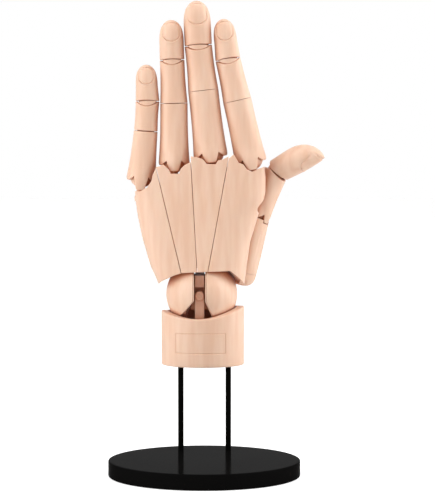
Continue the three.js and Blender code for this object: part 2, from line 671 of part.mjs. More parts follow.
function palmBody() {
  const heights = [0, 0.14, 0.32, 0.52, 0.75, 1].map((share) => PALM_LOW + (PALM_HIGH - PALM_LOW) * share);
  const sides = BALL_SIDES;
  const rings = heights.map((z) => Array.from({ length: sides }, (_, side) => {
    const angle = 2 * Math.PI * side / sides;
    const left = between(PALM_PINKY_EDGE, z);
    const right = between(PALM_THUMB_EDGE, z);
    const share = (PALM_HIGH - z) / (PALM_HIGH - PALM_LOW);
    const back = KNUCKLE_HALF_DEPTH_BACK + (WRIST_HALF_DEPTH_BACK - KNUCKLE_HALF_DEPTH_BACK) * share ** 1.3;
    const front = KNUCKLE_HALF_DEPTH_FRONT + (WRIST_HALF_DEPTH_FRONT - KNUCKLE_HALF_DEPTH_FRONT) * share;
    const bulge = (value) => Math.sign(value) * Math.abs(value) ** (2 / PALM_FLATNESS);
    const depth = Math.sin(angle) < 0 ? back : front;
    return [
      (left + right) / 2 + (right - left) / 2 * bulge(Math.cos(angle)),
      PALM_CENTRE_Y + depth * bulge(Math.sin(angle)), z,
    ];
  }));
  const middle = (z) => (between(PALM_PINKY_EDGE, z) + between(PALM_THUMB_EDGE, z)) / 2;
  const body = ringedSolid(rings, [middle(PALM_LOW), PALM_CENTRE_Y, PALM_LOW],
    [middle(PALM_HIGH), PALM_CENTRE_Y, PALM_HIGH]);
  return solidOf(body);
}

// Outline of each metacarpal, seams inset by half of their gap
function metacarpalOutlines() {
  const gap = SEAM_GAP / 2;
  const rightOf = (seam) => seam.map(([x, z]) => [x + gap, z]);
  const leftOf = (seam) => seam.map(([x, z]) => [x - gap, z]);
  const { pinkyRing, ringMiddle, middleIndex } = SEAMS;
  const [pinkyFoot, pinkyHead] = leftOf(pinkyRing);
  const [ringFoot, ringHead] = rightOf(pinkyRing);
  const [ringFootRight, ringHeadRight] = leftOf(ringMiddle);
  const [middleFoot, middleHead] = rightOf(ringMiddle);
  const [middleFootRight, middleHeadRight] = leftOf(middleIndex);
  const [indexFoot, indexHead] = rightOf(middleIndex);
  return {
    pinky: [PALM_PINKY_CORNER, pinkyFoot, pinkyHead, ...[...PALM_TOPS.pinky].reverse(), PALM_PINKY_OUTSIDE],
    ring: [ringFoot, ringFootRight, ringHeadRight, ...[...PALM_TOPS.ring].reverse(), ringHead],
    middle: [middleFoot, middleFootRight, middleHeadRight, ...[...PALM_TOPS.middle].reverse(), middleHead],
    index: [
      indexFoot, ...PALM_THUMB_ARCH, PALM_THUMB_CORNER, PALM_THUMB_OUTSIDE,
      ...[...PALM_TOPS.index].reverse(), indexHead,
    ],
  };
}

// Thumb's base: an egg about the axis from the base ball to the thumb's knuckle

function thumbEgg(grown) {
  const heights = [-1, -0.92, -0.72, -0.4, 0].map((share) => share * (THUMB_BASE_DROP + grown));
  const above = [0.3, 0.65, 1].map((share) => share * THUMB_LENGTHS[0]);
  const radiusAt = (z) => {
    const share = Math.min(0, z) / (THUMB_BASE_DROP + grown);
    const lowRound = (1 - Math.abs(share) ** THUMB_BASE_ROUNDNESS) ** (1 / THUMB_BASE_ROUNDNESS);
    const taper = THUMB_WIDTHS[0] / 2 + (THUMB_BASE_RADIUS - THUMB_WIDTHS[0] / 2)
      * (1 - Math.min(1, Math.max(0, z) / THUMB_LENGTHS[0]));
    return Math.max(0.4, (taper + grown) * lowRound);
  };
  const rings = [...heights.slice(1), ...above].map((z) => ring(radiusAt(z), radiusAt(z), () => z));
  const top = THUMB_LENGTHS[0] + THUMB_WIDTHS[0] / 2;
  rings.push(ring(radiusAt(top) * 0.8, radiusAt(top) * 0.8, () => top));
  return solidOf(ringedSolid(rings, [0, 0, heights[0]], [0, 0, top]));
}

const backToPalm = new THREE.Vector3(0, 1, 0);
const thumbBase = [BALL_RADIUS + THUMB_BASE_SIDE, THUMB_BASE_DEPTH, THUMB_BASE_RISE];
const thumbBaseFrame = limbFrame(thumbBase, leaning(THUMB_LEANS[0]), backToPalm);

// The thumb's palm side is turned from the hand's by its roll
function thumbFrame() {
  const along = leaning(THUMB_LEANS[1]);
  const palmward = backToPalm.clone().applyAxisAngle(along, radians(THUMB_ROLL));
  const foot = new THREE.Vector3(0, 0, THUMB_LENGTHS[0]).applyMatrix4(thumbBaseFrame);
  return limbFrame(foot.toArray(), along, palmward);
}

const fingerFrame = ({ knuckle: [x, z], leans }) => limbFrame([x, 0, z], leaning(leans[0]), backToPalm);
const inFrame = (solid, frame) => solid.transform(frame.elements);
const thumbKnuckleEnd = hingeEnd(THUMB_WIDTHS[0], 0, { tongue: THUMB_TONGUE });
const thumbBallRoom = () => ball(THUMB_BALL_RADIUS + SEAT_GAP, SIDES, LINK_SIDES);

// Everything above a plane through the thumb's base ball that falls away on the palm side, so that
// the thumb can lift toward the palm
function aboveThumbSaddle() {
  const reach = 2 * THUMB_LENGTHS[0];
  const low = -THUMB_TURN_GAP / 2;
  const shape = new THREE.Shape([
    new THREE.Vector2(-reach, low), new THREE.Vector2(0, low),
    new THREE.Vector2(reach, low - reach * tangent(THUMB_PALM_LIFT)), new THREE.Vector2(reach, reach),
    new THREE.Vector2(-reach, reach),
  ]);
  const wedge = new THREE.ExtrudeGeometry(shape, { depth: 2 * reach, bevelEnabled: false });
  return placed(wedge.rotateX(Math.PI / 2).rotateZ(Math.PI / 2), -reach, 0, 0);
}

// Fixed foot of the thumb: the egg's lower cap, hollowed for the thumb's ball
function thumbSaddle() {
  const cap = cut(thumbEgg(0), [aboveThumbSaddle(), thumbBallRoom()]);
  return inFrame(cap, thumbBaseFrame).subtract(ball(BALL_RADIUS + SEAT_GAP));
}

// Room round the thumb's knuckle: its barrel between two cheeks, its tongue, its lug, and everything
// above the cheeks through the knuckle's bend
function thumbKnuckleRoom() {
  const end = thumbKnuckleEnd;
  const reach = 2 * end.depth;
  const halfBarrel = pocketOf(end).width;
  const slab = boxBetween([-reach, -reach, 0], [reach, reach, 2 * reach]);
  const cheeks = boxBetween([-reach, -end.depth, -CHEEK_DROP - RUNNING_GAP], [reach, end.depth, reach]);
  const room = slab.add(cheeks);
  const bends = [0, 0.5, 1].map((share) => room.rotate([-share * THUMB_KNUCKLE_BEND, 0, 0]));
  const barrel = rodAlongX(end.depth / 2 + RUNNING_GAP, halfBarrel, SIDES);
  return join([barrel, ...bends, tongueRoom(end), lugRoom(end)]);
}

// Moving base of the thumb, drawn in the frame of its ball
function thumbMetacarpal() {
  const reach = 3 * THUMB_BASE_RADIUS;
  const below = boxBetween([-reach, -reach, -reach], [reach, reach, THUMB_TURN_GAP / 2]);
  const toThumb = thumbBaseFrame.clone().invert().multiply(thumbFrame());
  return cut(thumbEgg(0), [below, thumbBallRoom(), inFrame(thumbKnuckleRoom(), toThumb)]);
}

// Room that the thumb needs beside and in front of the palm, through its lift and its knuckle's bend
function thumbRoom() {
  const halfEgg = THUMB_BASE_RADIUS + RUNNING_GAP;
  const lift = boxBetween([-halfEgg, 0, -THUMB_BASE_DROP], [halfEgg, 3 * halfEgg, THUMB_LENGTHS[0]]);
  const half = THUMB_WIDTHS[0] / 2 + RUNNING_GAP;
  const limb = ovalColumn(half, half, 0, THUMB_LENGTHS[1] + half, SIDES).add(ball(half, SIDES, LINK_SIDES));
  const bends = [0, 0.33, 0.67, 1].map((share) => limb.rotate([-share * THUMB_KNUCKLE_BEND, 0, 0]));
  return [
    inFrame(thumbEgg(SEAT_GAP), thumbBaseFrame), inFrame(lift, thumbBaseFrame),
    ...bends.map((bend) => inFrame(bend, thumbFrame())),
  ];
}

// Block with a metacarpal's outline, its seams slanting toward the thumb as they go to the palm side
function metacarpalBlock(outline) {
  const reach = 3 * WRIST_HALF_DEPTH_BACK;
  const slant = new THREE.Matrix4().set(
    1, SEAM_SLANT, 0, -SEAM_SLANT * SEAM_SLANT_FROM, 0, 1, 0, 0, 0, 0, 1, 0, 0, 0, 0, 1,
  );
  return plateSolid(outline, -reach, reach).transform(slant.elements);
}

function metacarpals() {
  const body = palmBody();
  const outlines = metacarpalOutlines();
  const rooms = Object.values(FINGERS).flatMap((finger) => {
    const end = hingeEnd(finger.widths[0], 0, { tongue: finger.tongue });
    const angles = [0, ...finger.swing.filter((angle) => Math.abs(angle) > 1)];
    return angles.map((angle) => inFrame(fingerRoom(end, angle), fingerFrame(finger)));
  });
  const tools = [ball(BALL_RADIUS + SEAT_GAP), ...rooms, ...thumbRoom()];
  return Object.fromEntries(Object.entries(outlines).map(([name, outline]) => [
    name, cut(body.intersect(metacarpalBlock(outline)), tools),
  ]));
}

// Fingers

// The next joint up a limb, with its link and its pin
function jointAbove(parent, name, length, end, turnX, turnY) {
  const turn = new THREE.Matrix4().makeRotationFromEuler(new THREE.Euler(turnX, turnY, 0));
  const group = groupAt(parent, turn.clone().setPosition(0, 0, length));
  group.name = `${name}_joint`;
  group.add(meshOf(`${name}_link`, link(end, turn)));
  group.add(meshOf(`${name}_pin`, pin(end), blackPaint));
  return group;
}

function addFinger(palm, name, finger) {
  const [knuckleWidth, middleWidth, endWidth, tipWidth] = finger.widths;
  const [proximalLength, middleLength, distalLength] = finger.lengths;
  const leanStep = (joint) => finger.leans[joint] - finger.leans[joint - 1];
  const foot = hingeEnd(knuckleWidth, 0, { tongue: finger.tongue });
  const middleHinge = hingeEnd(middleWidth, MIDDLE_HINGE_BEND / 2, { sideLean: leanStep(1) / 2 });
  const endHinge = hingeEnd(endWidth, END_HINGE_BEND / 2, {
    lens: END_HINGE_LENS, sideLean: leanStep(2) / 2,
  });

  const first = groupAt(palm, fingerFrame(finger));
  first.name = `${name}_knuckle_joint`;
  first.add(meshOf(`${name}_knuckle`, knuckle(foot)));
  first.add(meshOf(`${name}_knuckle_pin`, pin(foot), blackPaint));
  const proximalGirth = waisted(knuckleWidth, middleWidth, proximalLength);
  const proximal = phalanx(foot, middleHinge, proximalLength, proximalGirth);
  first.add(meshOf(`${name}_proximal`, proximal.add(blade(foot))));

  const second = jointAbove(first, `${name}_middle`, proximalLength, middleHinge, 0, radians(leanStep(1)));
  const middle = phalanx(middleHinge, endHinge, middleLength, waisted(middleWidth, endWidth, middleLength));
  second.add(meshOf(`${name}_middle`, middle.add(blade(middleHinge))));

  const third = jointAbove(second, `${name}_end`, middleLength, endHinge, 0, radians(leanStep(2)));
  const endFoot = { ...endHinge, lens: END_FOOT_LENS };
  const distal = phalanx(endFoot, null, distalLength, tipped(endWidth, tipWidth, distalLength));
  third.add(meshOf(`${name}_distal`, distal.add(blade(endHinge))));
}

function addThumb(palm) {
  palm.add(meshOf('thumb_saddle', thumbSaddle()));
  const base = groupAt(palm, thumbBaseFrame);
  base.name = 'thumb_base_joint';
  base.add(meshOf('thumb_ball', ball(THUMB_BALL_RADIUS, SIDES, LINK_SIDES)));
  base.add(meshOf('thumb_metacarpal', thumbMetacarpal()));

  const toKnuckle = thumbBaseFrame.clone().invert().multiply(thumbFrame());
  const first = groupAt(base, toKnuckle);
  first.name = 'thumb_knuckle_joint';
  const [, length, endLength] = THUMB_LENGTHS;
  const [knuckleWidth, endWidth, tipWidth] = THUMB_WIDTHS;
  const endHinge = hingeEnd(endWidth, (THUMB_END_BEND - THUMB_BACK_BEND) / 2, {
    backBend: (THUMB_BACK_BEND + THUMB_WEDGE) / 2,
  });
  first.add(meshOf('thumb_knuckle', knuckle(thumbKnuckleEnd)));
  first.add(meshOf('thumb_knuckle_pin', pin(thumbKnuckleEnd), blackPaint));
  const proximal = phalanx(thumbKnuckleEnd, endHinge, length, waisted(knuckleWidth, endWidth, length));
  first.add(meshOf('thumb_proximal', proximal.add(blade(thumbKnuckleEnd))));

  const second = jointAbove(first, 'thumb_end', length, endHinge, radians(THUMB_BACK_BEND), 0);
  const girth = tipped(endWidth, tipWidth, endLength, THUMB_TIP_ROUNDNESS, THUMB_TIP_BACK_SHARE);
  const distal = phalanx(endHinge, null, endLength, girth);
  second.add(meshOf('thumb_distal', distal.add(blade(endHinge))));
}

// Assembly

const hand = new THREE.Group();
hand.add(meshOf('base_disc', baseDisc(), blackGloss));
rodPlaces().forEach((x, number) => {
  hand.add(meshOf(['rod_left', 'rod_right'][number], rod(x), blackPaint));
});

const wrist = groupAt(hand, new THREE.Matrix4().makeTranslation(BALL_SIDE_OFFSET, ROD_SETBACK, ballHeight));
wrist.name = 'wrist_joint';
wrist.add(meshOf('wrist_cuff', cuff()));
wrist.add(meshOf('wrist_post', wristPost()));
wrist.add(meshOf('wrist_core', wristCore()));
wrist.add(meshOf('wrist_pin', wristPin()));
wrist.add(meshOf('wrist_ball_left', ballHalf(-1)));
wrist.add(meshOf('wrist_ball_right', ballHalf(1)));
Object.entries(metacarpals()).forEach(([name, solid]) => {
  wrist.add(meshOf(`metacarpal_${name}`, solid));
});
Object.entries(FINGERS).forEach(([name, finger]) => addFinger(wrist, name, finger));
addThumb(wrist);

export default hand;
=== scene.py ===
"""Dresses the jointed artist hand: smooth skins for its shells, materials, studio light and camera."""

import math

import bpy
import numpy as np
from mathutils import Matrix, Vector


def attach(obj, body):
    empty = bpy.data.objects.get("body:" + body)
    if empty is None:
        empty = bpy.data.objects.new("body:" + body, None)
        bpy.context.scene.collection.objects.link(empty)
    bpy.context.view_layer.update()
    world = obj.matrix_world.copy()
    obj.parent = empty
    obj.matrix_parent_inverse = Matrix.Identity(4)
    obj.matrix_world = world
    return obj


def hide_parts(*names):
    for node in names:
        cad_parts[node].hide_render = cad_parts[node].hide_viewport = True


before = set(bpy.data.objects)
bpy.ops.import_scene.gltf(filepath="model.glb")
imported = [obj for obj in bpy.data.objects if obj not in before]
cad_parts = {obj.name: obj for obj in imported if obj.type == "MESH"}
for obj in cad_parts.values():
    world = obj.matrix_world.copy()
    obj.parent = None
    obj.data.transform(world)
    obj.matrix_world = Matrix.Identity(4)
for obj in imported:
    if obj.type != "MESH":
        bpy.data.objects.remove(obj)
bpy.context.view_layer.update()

MM = 0.001

# Sizes repeated from the part, in millimetres
BASE_RADIUS = 61.0
BASE_HEIGHT = 10.0
ROD_RADIUS = 1.8
ROD_HALF_SPACING = 15.4
ROD_SETBACK = 40.0
ROD_FOOT = 4.0
CUFF_FOOT = 66.2
ROD_TOP = CUFF_FOOT + 19.0
WRIST = np.array([-1.8, 40.0, 112.0])
BALL_RADIUS = 23.0
CUP_RADIUS = BALL_RADIUS + 0.9
CUFF_HALF_WIDTH = CUP_RADIUS + 2.85
CUFF_HALF_DEPTH = CUFF_HALF_WIDTH * 0.82
CUFF_SIDE_OFFSET = 0.7
CUFF_BOTTOM = CUFF_FOOT - WRIST[2]
SLOT_OFFSET = -1.3
SLOT_HALF = 3.65
HINGE_GAP = 0.34
FAINT_GAP = 0.06
LENS_EDGE = 0.1
LENS_DEPTH = 0.45
WALL = 1.6
RUNNING_GAP = 0.45
DEPTH_SHARE = 0.95
NOTCH_RISE = 0.6
CHEEK_DROP = 2.4
NECK_SHARE = 0.7
LUG_RADIUS = 3.4
RIM_BEND = 0.45
FAINT_BEND = 0.12

FINGERS = {
    "pinky": {"knuckle": (-38.8, 75.7), "leans": (5.4, 3.4, -2.4), "lengths": (29.8, 19.1, 23.5),
              "widths": (18.9, 15.3, 15.3, 14.1), "tongue": 8, "crease": HINGE_GAP},
    "ring": {"knuckle": (-17.7, 85.8), "leans": (-0.2, -2.4, -1.6), "lengths": (37.4, 27.7, 25.7),
             "widths": (19.7, 17.6, 15.9, 15.7), "tongue": 6.2, "crease": 0.22},
    "middle": {"knuckle": (5.6, 91), "leans": (-6.4, -6.4, -2.6), "lengths": (40.8, 28.9, 28.6),
               "widths": (21.7, 19.5, 17.6, 17.5), "tongue": 5.8, "crease": FAINT_GAP},
    "index": {"knuckle": (31.3, 87.2), "leans": (-12.6, -12.7, -7.2), "lengths": (38.8, 27, 26),
              "widths": (20.4, 18.4, 16.2, 14.8), "tongue": 6.7, "crease": FAINT_GAP},
}
END_HEAD_LENS = 3.0
END_FOOT_LENS = 0.9
TIP_BACK_SHARE = 0.3
THUMB_BASE = (26, 9.5, 14)
THUMB_LEANS = (15.7, 23.7)
THUMB_LENGTHS = (39.5, 29.2, 34.2)
THUMB_WIDTHS = (17.4, 16.8, 18.4)
THUMB_BASE_DROP = 9.1
THUMB_TONGUE = 4.4
THUMB_ROLL = 60
THUMB_BACK_BEND = 40
THUMB_END_BEND = 40
THUMB_WEDGE = 6
THUMB_TIP_BACK_SHARE = 0.9
TIP_INSET = 0.2
EGG_RADIUS = 9.8
THUMB_BALL_RADIUS = 6.0

# Materials


def new_material(name):
    """A node material, its node tree and its shader."""
    material = bpy.data.materials.new(name)
    material.use_nodes = True
    tree = material.node_tree
    return material, tree, tree.nodes["Principled BSDF"]


def add_node(tree, kind, **inputs):
    """A node of a kind, with plain socket values."""
    made = tree.nodes.new(kind)
    for name, value in inputs.items():
        made.inputs[name].default_value = value
    return made


def noise(tree, place, scale, detail, roughness=0.5):
    """Noise over a place, its scale a socket."""
    made = add_node(tree, "ShaderNodeTexNoise", Detail=detail, Roughness=roughness)
    tree.links.new(place, made.inputs["Vector"])
    tree.links.new(scale, made.inputs["Scale"])
    return made.outputs["Fac"]


def ranged(tree, value, low, high, to_low, to_high):
    """A value carried from one range to another, whose ends are numbers or sockets."""
    made = tree.nodes.new("ShaderNodeMapRange")
    for name, number in (("From Min", low), ("From Max", high), ("To Min", to_low), ("To Max", to_high)):
        if hasattr(number, "node"):
            tree.links.new(number, made.inputs[name])
        else:
            made.inputs[name].default_value = number
    tree.links.new(value, made.inputs["Value"])
    return made.outputs["Result"]


def mixed(tree, share, first, second):
    """Two colours mixed by a share."""
    made = tree.nodes.new("ShaderNodeMix")
    made.data_type = "RGBA"
    for index, value in ((6, first), (7, second)):
        if hasattr(value, "node"):
            tree.links.new(value, made.inputs[index])
        else:
            made.inputs[index].default_value = (*value, 1)
    tree.links.new(share, made.inputs[0])
    return made.outputs[2]


def surface_group():
    """Node group shared by the finishes: upright streaks, a wandering roughness and a fine grain's height."""
    group = bpy.data.node_groups.new("moulded_surface", "ShaderNodeTree")
    for name in ("Mottle Scale", "Wander Scale", "Smooth", "Rough", "Grain Scale"):
        group.interface.new_socket(name, in_out="INPUT", socket_type="NodeSocketFloat")
    for name in ("Mottle", "Roughness", "Height"):
        group.interface.new_socket(name, in_out="OUTPUT", socket_type="NodeSocketFloat")
    given = group.nodes.new("NodeGroupInput").outputs
    result = group.nodes.new("NodeGroupOutput").inputs
    place = group.nodes.new("ShaderNodeTexCoord").outputs["Object"]
    drawn = group.nodes.new("ShaderNodeVectorMath")
    drawn.operation = "MULTIPLY"
    group.links.new(place, drawn.inputs[0])
    drawn.inputs[1].default_value = (1.0, 1.0, 0.12)
    streaks = noise(group, drawn.outputs[0], given["Mottle Scale"], 3.0)
    mottle = ranged(group, streaks, 0.35, 0.65, 0.0, 1.0)
    wander = noise(group, place, given["Wander Scale"], 3.0, 0.6)
    group.links.new(mottle, result["Mottle"])
    worn = ranged(group, wander, 0.33, 0.7, given["Smooth"], given["Rough"])
    group.links.new(worn, result["Roughness"])
    group.links.new(noise(group, place, given["Grain Scale"], 2.0), result["Height"])
    return group


MOULDED_SURFACE = surface_group()


def moulded_surface(tree, shader, mottle_scale, wander_scale, smooth, rough, grain_scale, grain):
    """The shared surface in a material, its roughness and grain on the shader; returns its mottle."""
    made = tree.nodes.new("ShaderNodeGroup")
    made.node_tree = MOULDED_SURFACE
    values = (mottle_scale, wander_scale, smooth, rough, grain_scale)
    for socket, value in zip(made.inputs, values):
        socket.default_value = value
    tree.links.new(made.outputs["Roughness"], shader.inputs["Roughness"])
    relief = add_node(tree, "ShaderNodeBump", Strength=grain, Distance=0.0001)
    tree.links.new(made.outputs["Height"], relief.inputs["Height"])
    tree.links.new(relief.outputs["Normal"], shader.inputs["Normal"])
    return made.outputs["Mottle"]


def open_share(tree, reach, low, high):
    """How open a place is within a reach, from ambient occlusion: 0 in a gap, 1 on a free surface; the mask
    for painted shade.
    """
    hollow = add_node(tree, "ShaderNodeAmbientOcclusion", Distance=reach)
    hollow.samples = 8
    return ranged(tree, hollow.outputs["AO"], low, high, 0.0, 1.0)


def hand_plastic():
    """Satin beige moulded plastic: faint mottling, painted reddish shade and bounce light in its gaps,
    creases and sides facing a neighbour, a fine moulded grain.
    """
    material, tree, shader = new_material("hand_plastic")
    mottle = moulded_surface(tree, shader, 230.0, 220.0, 0.44, 0.54, 2600.0, 0.06)
    mottled = mixed(tree, mottle, (0.850, 0.585, 0.435), (0.800, 0.515, 0.365))
    # Occlusion masks for painted shade: near finds gaps and seams, wide finds faces close to a neighbouring
    # part
    near = open_share(tree, 0.0035, 0.05, 0.55)
    wide = open_share(tree, 0.018, 0.12, 0.80)
    # Painted shade: reddish brown where a neighbouring part is near, standing in for shadow and reddish
    # bounce light
    painted_bounce_shade = mixed(tree, wide, (0.60, 0.235, 0.115), mottled)
    # Painted shade: deep reddish brown in gaps, seams and creases
    tree.links.new(mixed(tree, near, (0.52, 0.165, 0.070), painted_bounce_shade), shader.inputs["Base Color"])
    shader.inputs["Subsurface Weight"].default_value = 0.12
    shader.inputs["Subsurface Radius"].default_value = (1.0, 0.45, 0.22)
    shader.inputs["Subsurface Scale"].default_value = 0.002
    shader.inputs["Specular IOR Level"].default_value = 0.45
    shader.inputs["Sheen Weight"].default_value = 0.3
    shader.inputs["Sheen Roughness"].default_value = 0.35
    return material


def black_gloss():
    """Polished black plastic with faint wipe marks."""
    material, tree, shader = new_material("black_gloss")
    shader.inputs["Base Color"].default_value = (0.0045, 0.0043, 0.0042, 1)
    shader.inputs["Specular IOR Level"].default_value = 0.0004
    moulded_surface(tree, shader, 38.0, 60.0, 0.10, 0.17, 900.0, 0.02)
    return material


def black_paint():
    """Satin black painted steel with a faint drawn grain."""
    material, tree, shader = new_material("black_paint")
    shader.inputs["Base Color"].default_value = (0.0035, 0.0035, 0.003, 1)
    shader.inputs["Specular IOR Level"].default_value = 0.002
    moulded_surface(tree, shader, 38.0, 300.0, 0.38, 0.50, 1500.0, 0.05)
    return material


FINISHES = {"hand_beige": hand_plastic(), "base_black": black_gloss(), "rod_black": black_paint()}

# Surfaces


def piece_from(name, points, faces, body, nodes, smooth_angle=38, slot="hand_beige"):
    """A mesh piece in metres from points in millimetres of the part's frame, in its slot's finish."""
    mesh = bpy.data.meshes.new(name)
    mesh.from_pydata((np.asarray(points) * MM).tolist(), [], faces)
    mesh.validate()
    mesh.update()
    mesh.materials.append(FINISHES[slot])
    made = bpy.data.objects.new(name, mesh)
    bpy.context.scene.collection.objects.link(made)
    mesh.polygons.foreach_set("use_smooth", np.ones(len(mesh.polygons), dtype=bool))
    mesh.set_sharp_from_angle(angle=math.radians(smooth_angle))
    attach(made, body)
    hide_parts(*nodes)


def ringed(rings, first_pole, last_pole):
    """Points and faces of a closed skin: a pole, rings of equal count, and another pole."""
    count = len(rings[0])
    points = np.vstack([[first_pole], np.concatenate(rings), [last_pole]])
    last = len(points) - 1
    side = np.arange(count)
    after = (side + 1) % count
    faces = [(0, int(1 + b), int(1 + a)) for a, b in zip(side, after)]
    for ring in range(len(rings) - 1):
        low, high = 1 + ring * count, 1 + (ring + 1) * count
        faces += [(int(low + a), int(low + b), int(high + b), int(high + a)) for a, b in zip(side, after)]
    top = 1 + (len(rings) - 1) * count
    faces += [(last, int(top + a), int(top + b)) for a, b in zip(side, after)]
    return points, faces


def turned(profile, centre, sides):
    """A profile of (radius, height) pairs turned about an upright axis, closed by poles on the axis."""
    angles = 2 * np.pi * np.arange(sides) / sides
    rings = [np.stack([r * np.cos(angles), r * np.sin(angles), np.full(sides, h)], axis=1)
             for r, h in profile[1:-1]]
    points, faces = ringed(rings, (0, 0, profile[0][1]), (0, 0, profile[-1][1]))
    return points + np.asarray(centre), faces


def rounded_profile(radius, low, high, bend):
    """Profile of a short column with rounded rims."""
    quarter = np.linspace(0, np.pi / 2, 6)
    foot = [(radius - bend + bend * math.sin(a), low + bend - bend * math.cos(a)) for a in quarter]
    head = [(radius - bend + bend * math.cos(a), high - bend + bend * math.sin(a)) for a in quarter]
    inner = radius - bend
    return [(0, low), (inner * 0.6, low), (inner * 0.97, low), *foot, *head, (inner * 0.97, high),
            (inner * 0.6, high), (0, high)]


def smooth_steps(stations, places, blur):
    """Straight runs between stations, softened by averaging over a width."""
    xs, ys = zip(*stations)
    shifts = np.linspace(-1, 1, 9)
    weights = np.cos(shifts * np.pi / 2) + 0.05
    total = sum(w * np.interp(np.asarray(places) + s * blur, xs, ys) for w, s in zip(weights, shifts))
    return total / weights.sum()


def bell(value, width):
    """1 at zero, falling to 0 on both sides over a width."""
    return np.exp(-(value / width) ** 2)


def falling(value, width):
    """1 well below zero, 0 well above it, changing over a width."""
    return 1 / (1 + np.exp(np.clip(value / width, -30, 30)))


# Limbs: the same ends as the part's, with x along the pin, y toward the palm and z along the limb

SIDES = 144
ANGLES = 2 * np.pi * np.arange(SIDES) / SIDES
FROM_BACK = np.abs((np.degrees(ANGLES) + 90 + 180) % 360 - 180)
RIM_TURNS = np.radians([0, 22, 45, 67, 90])


def hinge_end(width, palm_bend, lens=0.15, back_bend=0.0, side_lean=0.0, tongue=0.0, gap=HINGE_GAP):
    """Sizes of a hinge's end, with the length of its tongue where it has one."""
    depth = width * DEPTH_SHARE
    return {"width": width, "depth": depth, "lens": lens, "back": back_bend, "palm": palm_bend, "gap": gap,
            "lean": side_lean, "tongue": tongue, "pocket": (width / 2 - WALL, depth / 2 - WALL),
            "bend": RIM_BEND if gap == HINGE_GAP else FAINT_BEND}


def tongue_rim(end):
    """Rim height at the knuckle against the angle from the back: tongue, notch, cheek, palm-side arch."""
    arch = NECK_SHARE * end["depth"] / 2
    low = -end["tongue"]
    stations = [(0, low), (17, low), (29, NOTCH_RISE), (54, -CHEEK_DROP), (75, -CHEEK_DROP),
                (90, -CHEEK_DROP / 2), (120, arch * 0.6), (150, arch), (180, arch)]
    return smooth_steps(stations, FROM_BACK, 1.6)


def rim_retreat(end, x, y):
    """How far a rim stays back from its hinge's pin."""
    if end["tongue"]:
        return tongue_rim(end)
    level = end["gap"] / 2 + x * math.tan(math.radians(end["lean"]))
    share = y / (end["depth"] / 2)
    back = end["lens"] * share ** 2 - y * math.tan(math.radians(end["back"]))
    front = y * math.tan(math.radians(end["palm"]))
    return level + np.where(y < 0, back, front)


def oval(half_width, half_depth, heights):
    """A ring of points on an oval."""
    return np.stack([half_width * np.cos(ANGLES), half_depth * np.sin(ANGLES),
                     np.broadcast_to(heights, (SIDES,))], axis=1)


def pocket_rings(end):
    """Rings of the hollow round a hinge's barrel, from the rim's inner edge inward."""
    width, depth = end["pocket"]
    retreat = rim_retreat(end, width * np.cos(ANGLES), depth * np.sin(ANGLES))
    rings = [oval(width + 0.3, depth + 0.3, retreat), oval(width, depth, retreat + 0.3)]
    for climb in (4, 18, 34, 50, 66, 80):
        share = math.cos(math.radians(climb))
        rim = rim_retreat(end, share * width * np.cos(ANGLES), share * depth * np.sin(ANGLES))
        rings.append(oval(share * width, share * depth,
                          np.maximum(depth * math.sin(math.radians(climb)), rim + 0.4)))
    return rings


def limb_rings(lower, upper, length, girth, relief, levels):
    """Rings of one phalanx from the pole of its lower pocket to its upper pole or its tip.

    A ring's height runs between the two rims by a share, its half sizes come from the girth at that
    height, and the relief moves each point along its own radius.
    """
    def skin(heights, inset=0.0):
        width, depth, shift = girth(heights)
        x = (width - inset) * np.cos(ANGLES)
        y = (depth - inset) * np.sin(ANGLES)
        grow = 1 + relief(x, y, heights) / np.maximum(np.hypot(x, y), 0.01)
        return np.stack([x * grow, y * grow + shift, heights], axis=1)

    low_size = girth(np.zeros(SIDES))
    low = rim_retreat(lower, low_size[0] * np.cos(ANGLES), low_size[1] * np.sin(ANGLES))
    rings = pocket_rings(lower)[::-1]
    bend = lower["bend"]
    rings += [skin(low + bend * (1 - np.cos(t)), bend * (1 - np.sin(t))) for t in RIM_TURNS]
    start = low + bend
    if upper is None:
        shares = 1 - (1 - np.linspace(0, 1, levels + 30)[1:-1]) ** 1.35
        rings += [skin(start + (length - start) * share) for share in shares]
        tip_shift = girth(np.full(1, float(length)))[2][0]
        return rings, (0, 0, lower["pocket"][1]), (0, tip_shift, length)
    high_size = girth(np.full(SIDES, length))
    high = length - rim_retreat(upper, high_size[0] * np.cos(ANGLES), high_size[1] * np.sin(ANGLES))
    bend = upper["bend"]
    stop = high - bend
    rings += [skin(start + (stop - start) * share) for share in np.linspace(0, 1, levels)[1:-1]]
    rings += [skin(high - bend * (1 - np.cos(t)), bend * (1 - np.sin(t))) for t in RIM_TURNS[::-1]]
    rings += [ring * np.array([1, 1, -1]) + np.array([0, 0, length]) for ring in pocket_rings(upper)]
    return rings, (0, 0, lower["pocket"][1]), (0, 0, length - upper["pocket"][1])


WAIST = 0.035
ROUND_FROM = 0.42


def along_limb(low_width, high_width, length, flare=0.0):
    """Half width and half depth of a phalanx with a slight waist, flared at its foot."""
    def girth(z):
        share = np.clip(z / length, 0, 1)
        width = low_width + (high_width - low_width) * share
        width = width * (1 - WAIST * np.sin(np.pi * share)) + flare * bell(z, 5.0)
        return width / 2, width / 2 * DEPTH_SHARE, 0 * width
    return girth


def tipped(low_width, tip_width, length, power=2.8, back_share=TIP_BACK_SHARE):
    """Half width, half depth and shift of a distal phalanx, closing in a round tip that keeps to its back."""
    def girth(z):
        share = np.clip(z / length, 0, 1)
        width = low_width + (tip_width - low_width) * np.minimum(1, share / ROUND_FROM)
        past = np.maximum(0, (share - ROUND_FROM) / (1 - ROUND_FROM))
        close = np.sqrt(np.maximum(1e-6, 1 - past ** power))
        depth = width / 2 * DEPTH_SHARE
        return width / 2 * close, depth * close, -back_share * depth * (1 - close)
    return girth


def soft_min(values, softness):
    """Smooth least of several fields."""
    stacked = np.stack(values)
    return -softness * np.log(np.exp(-stacked / softness).sum(axis=0))


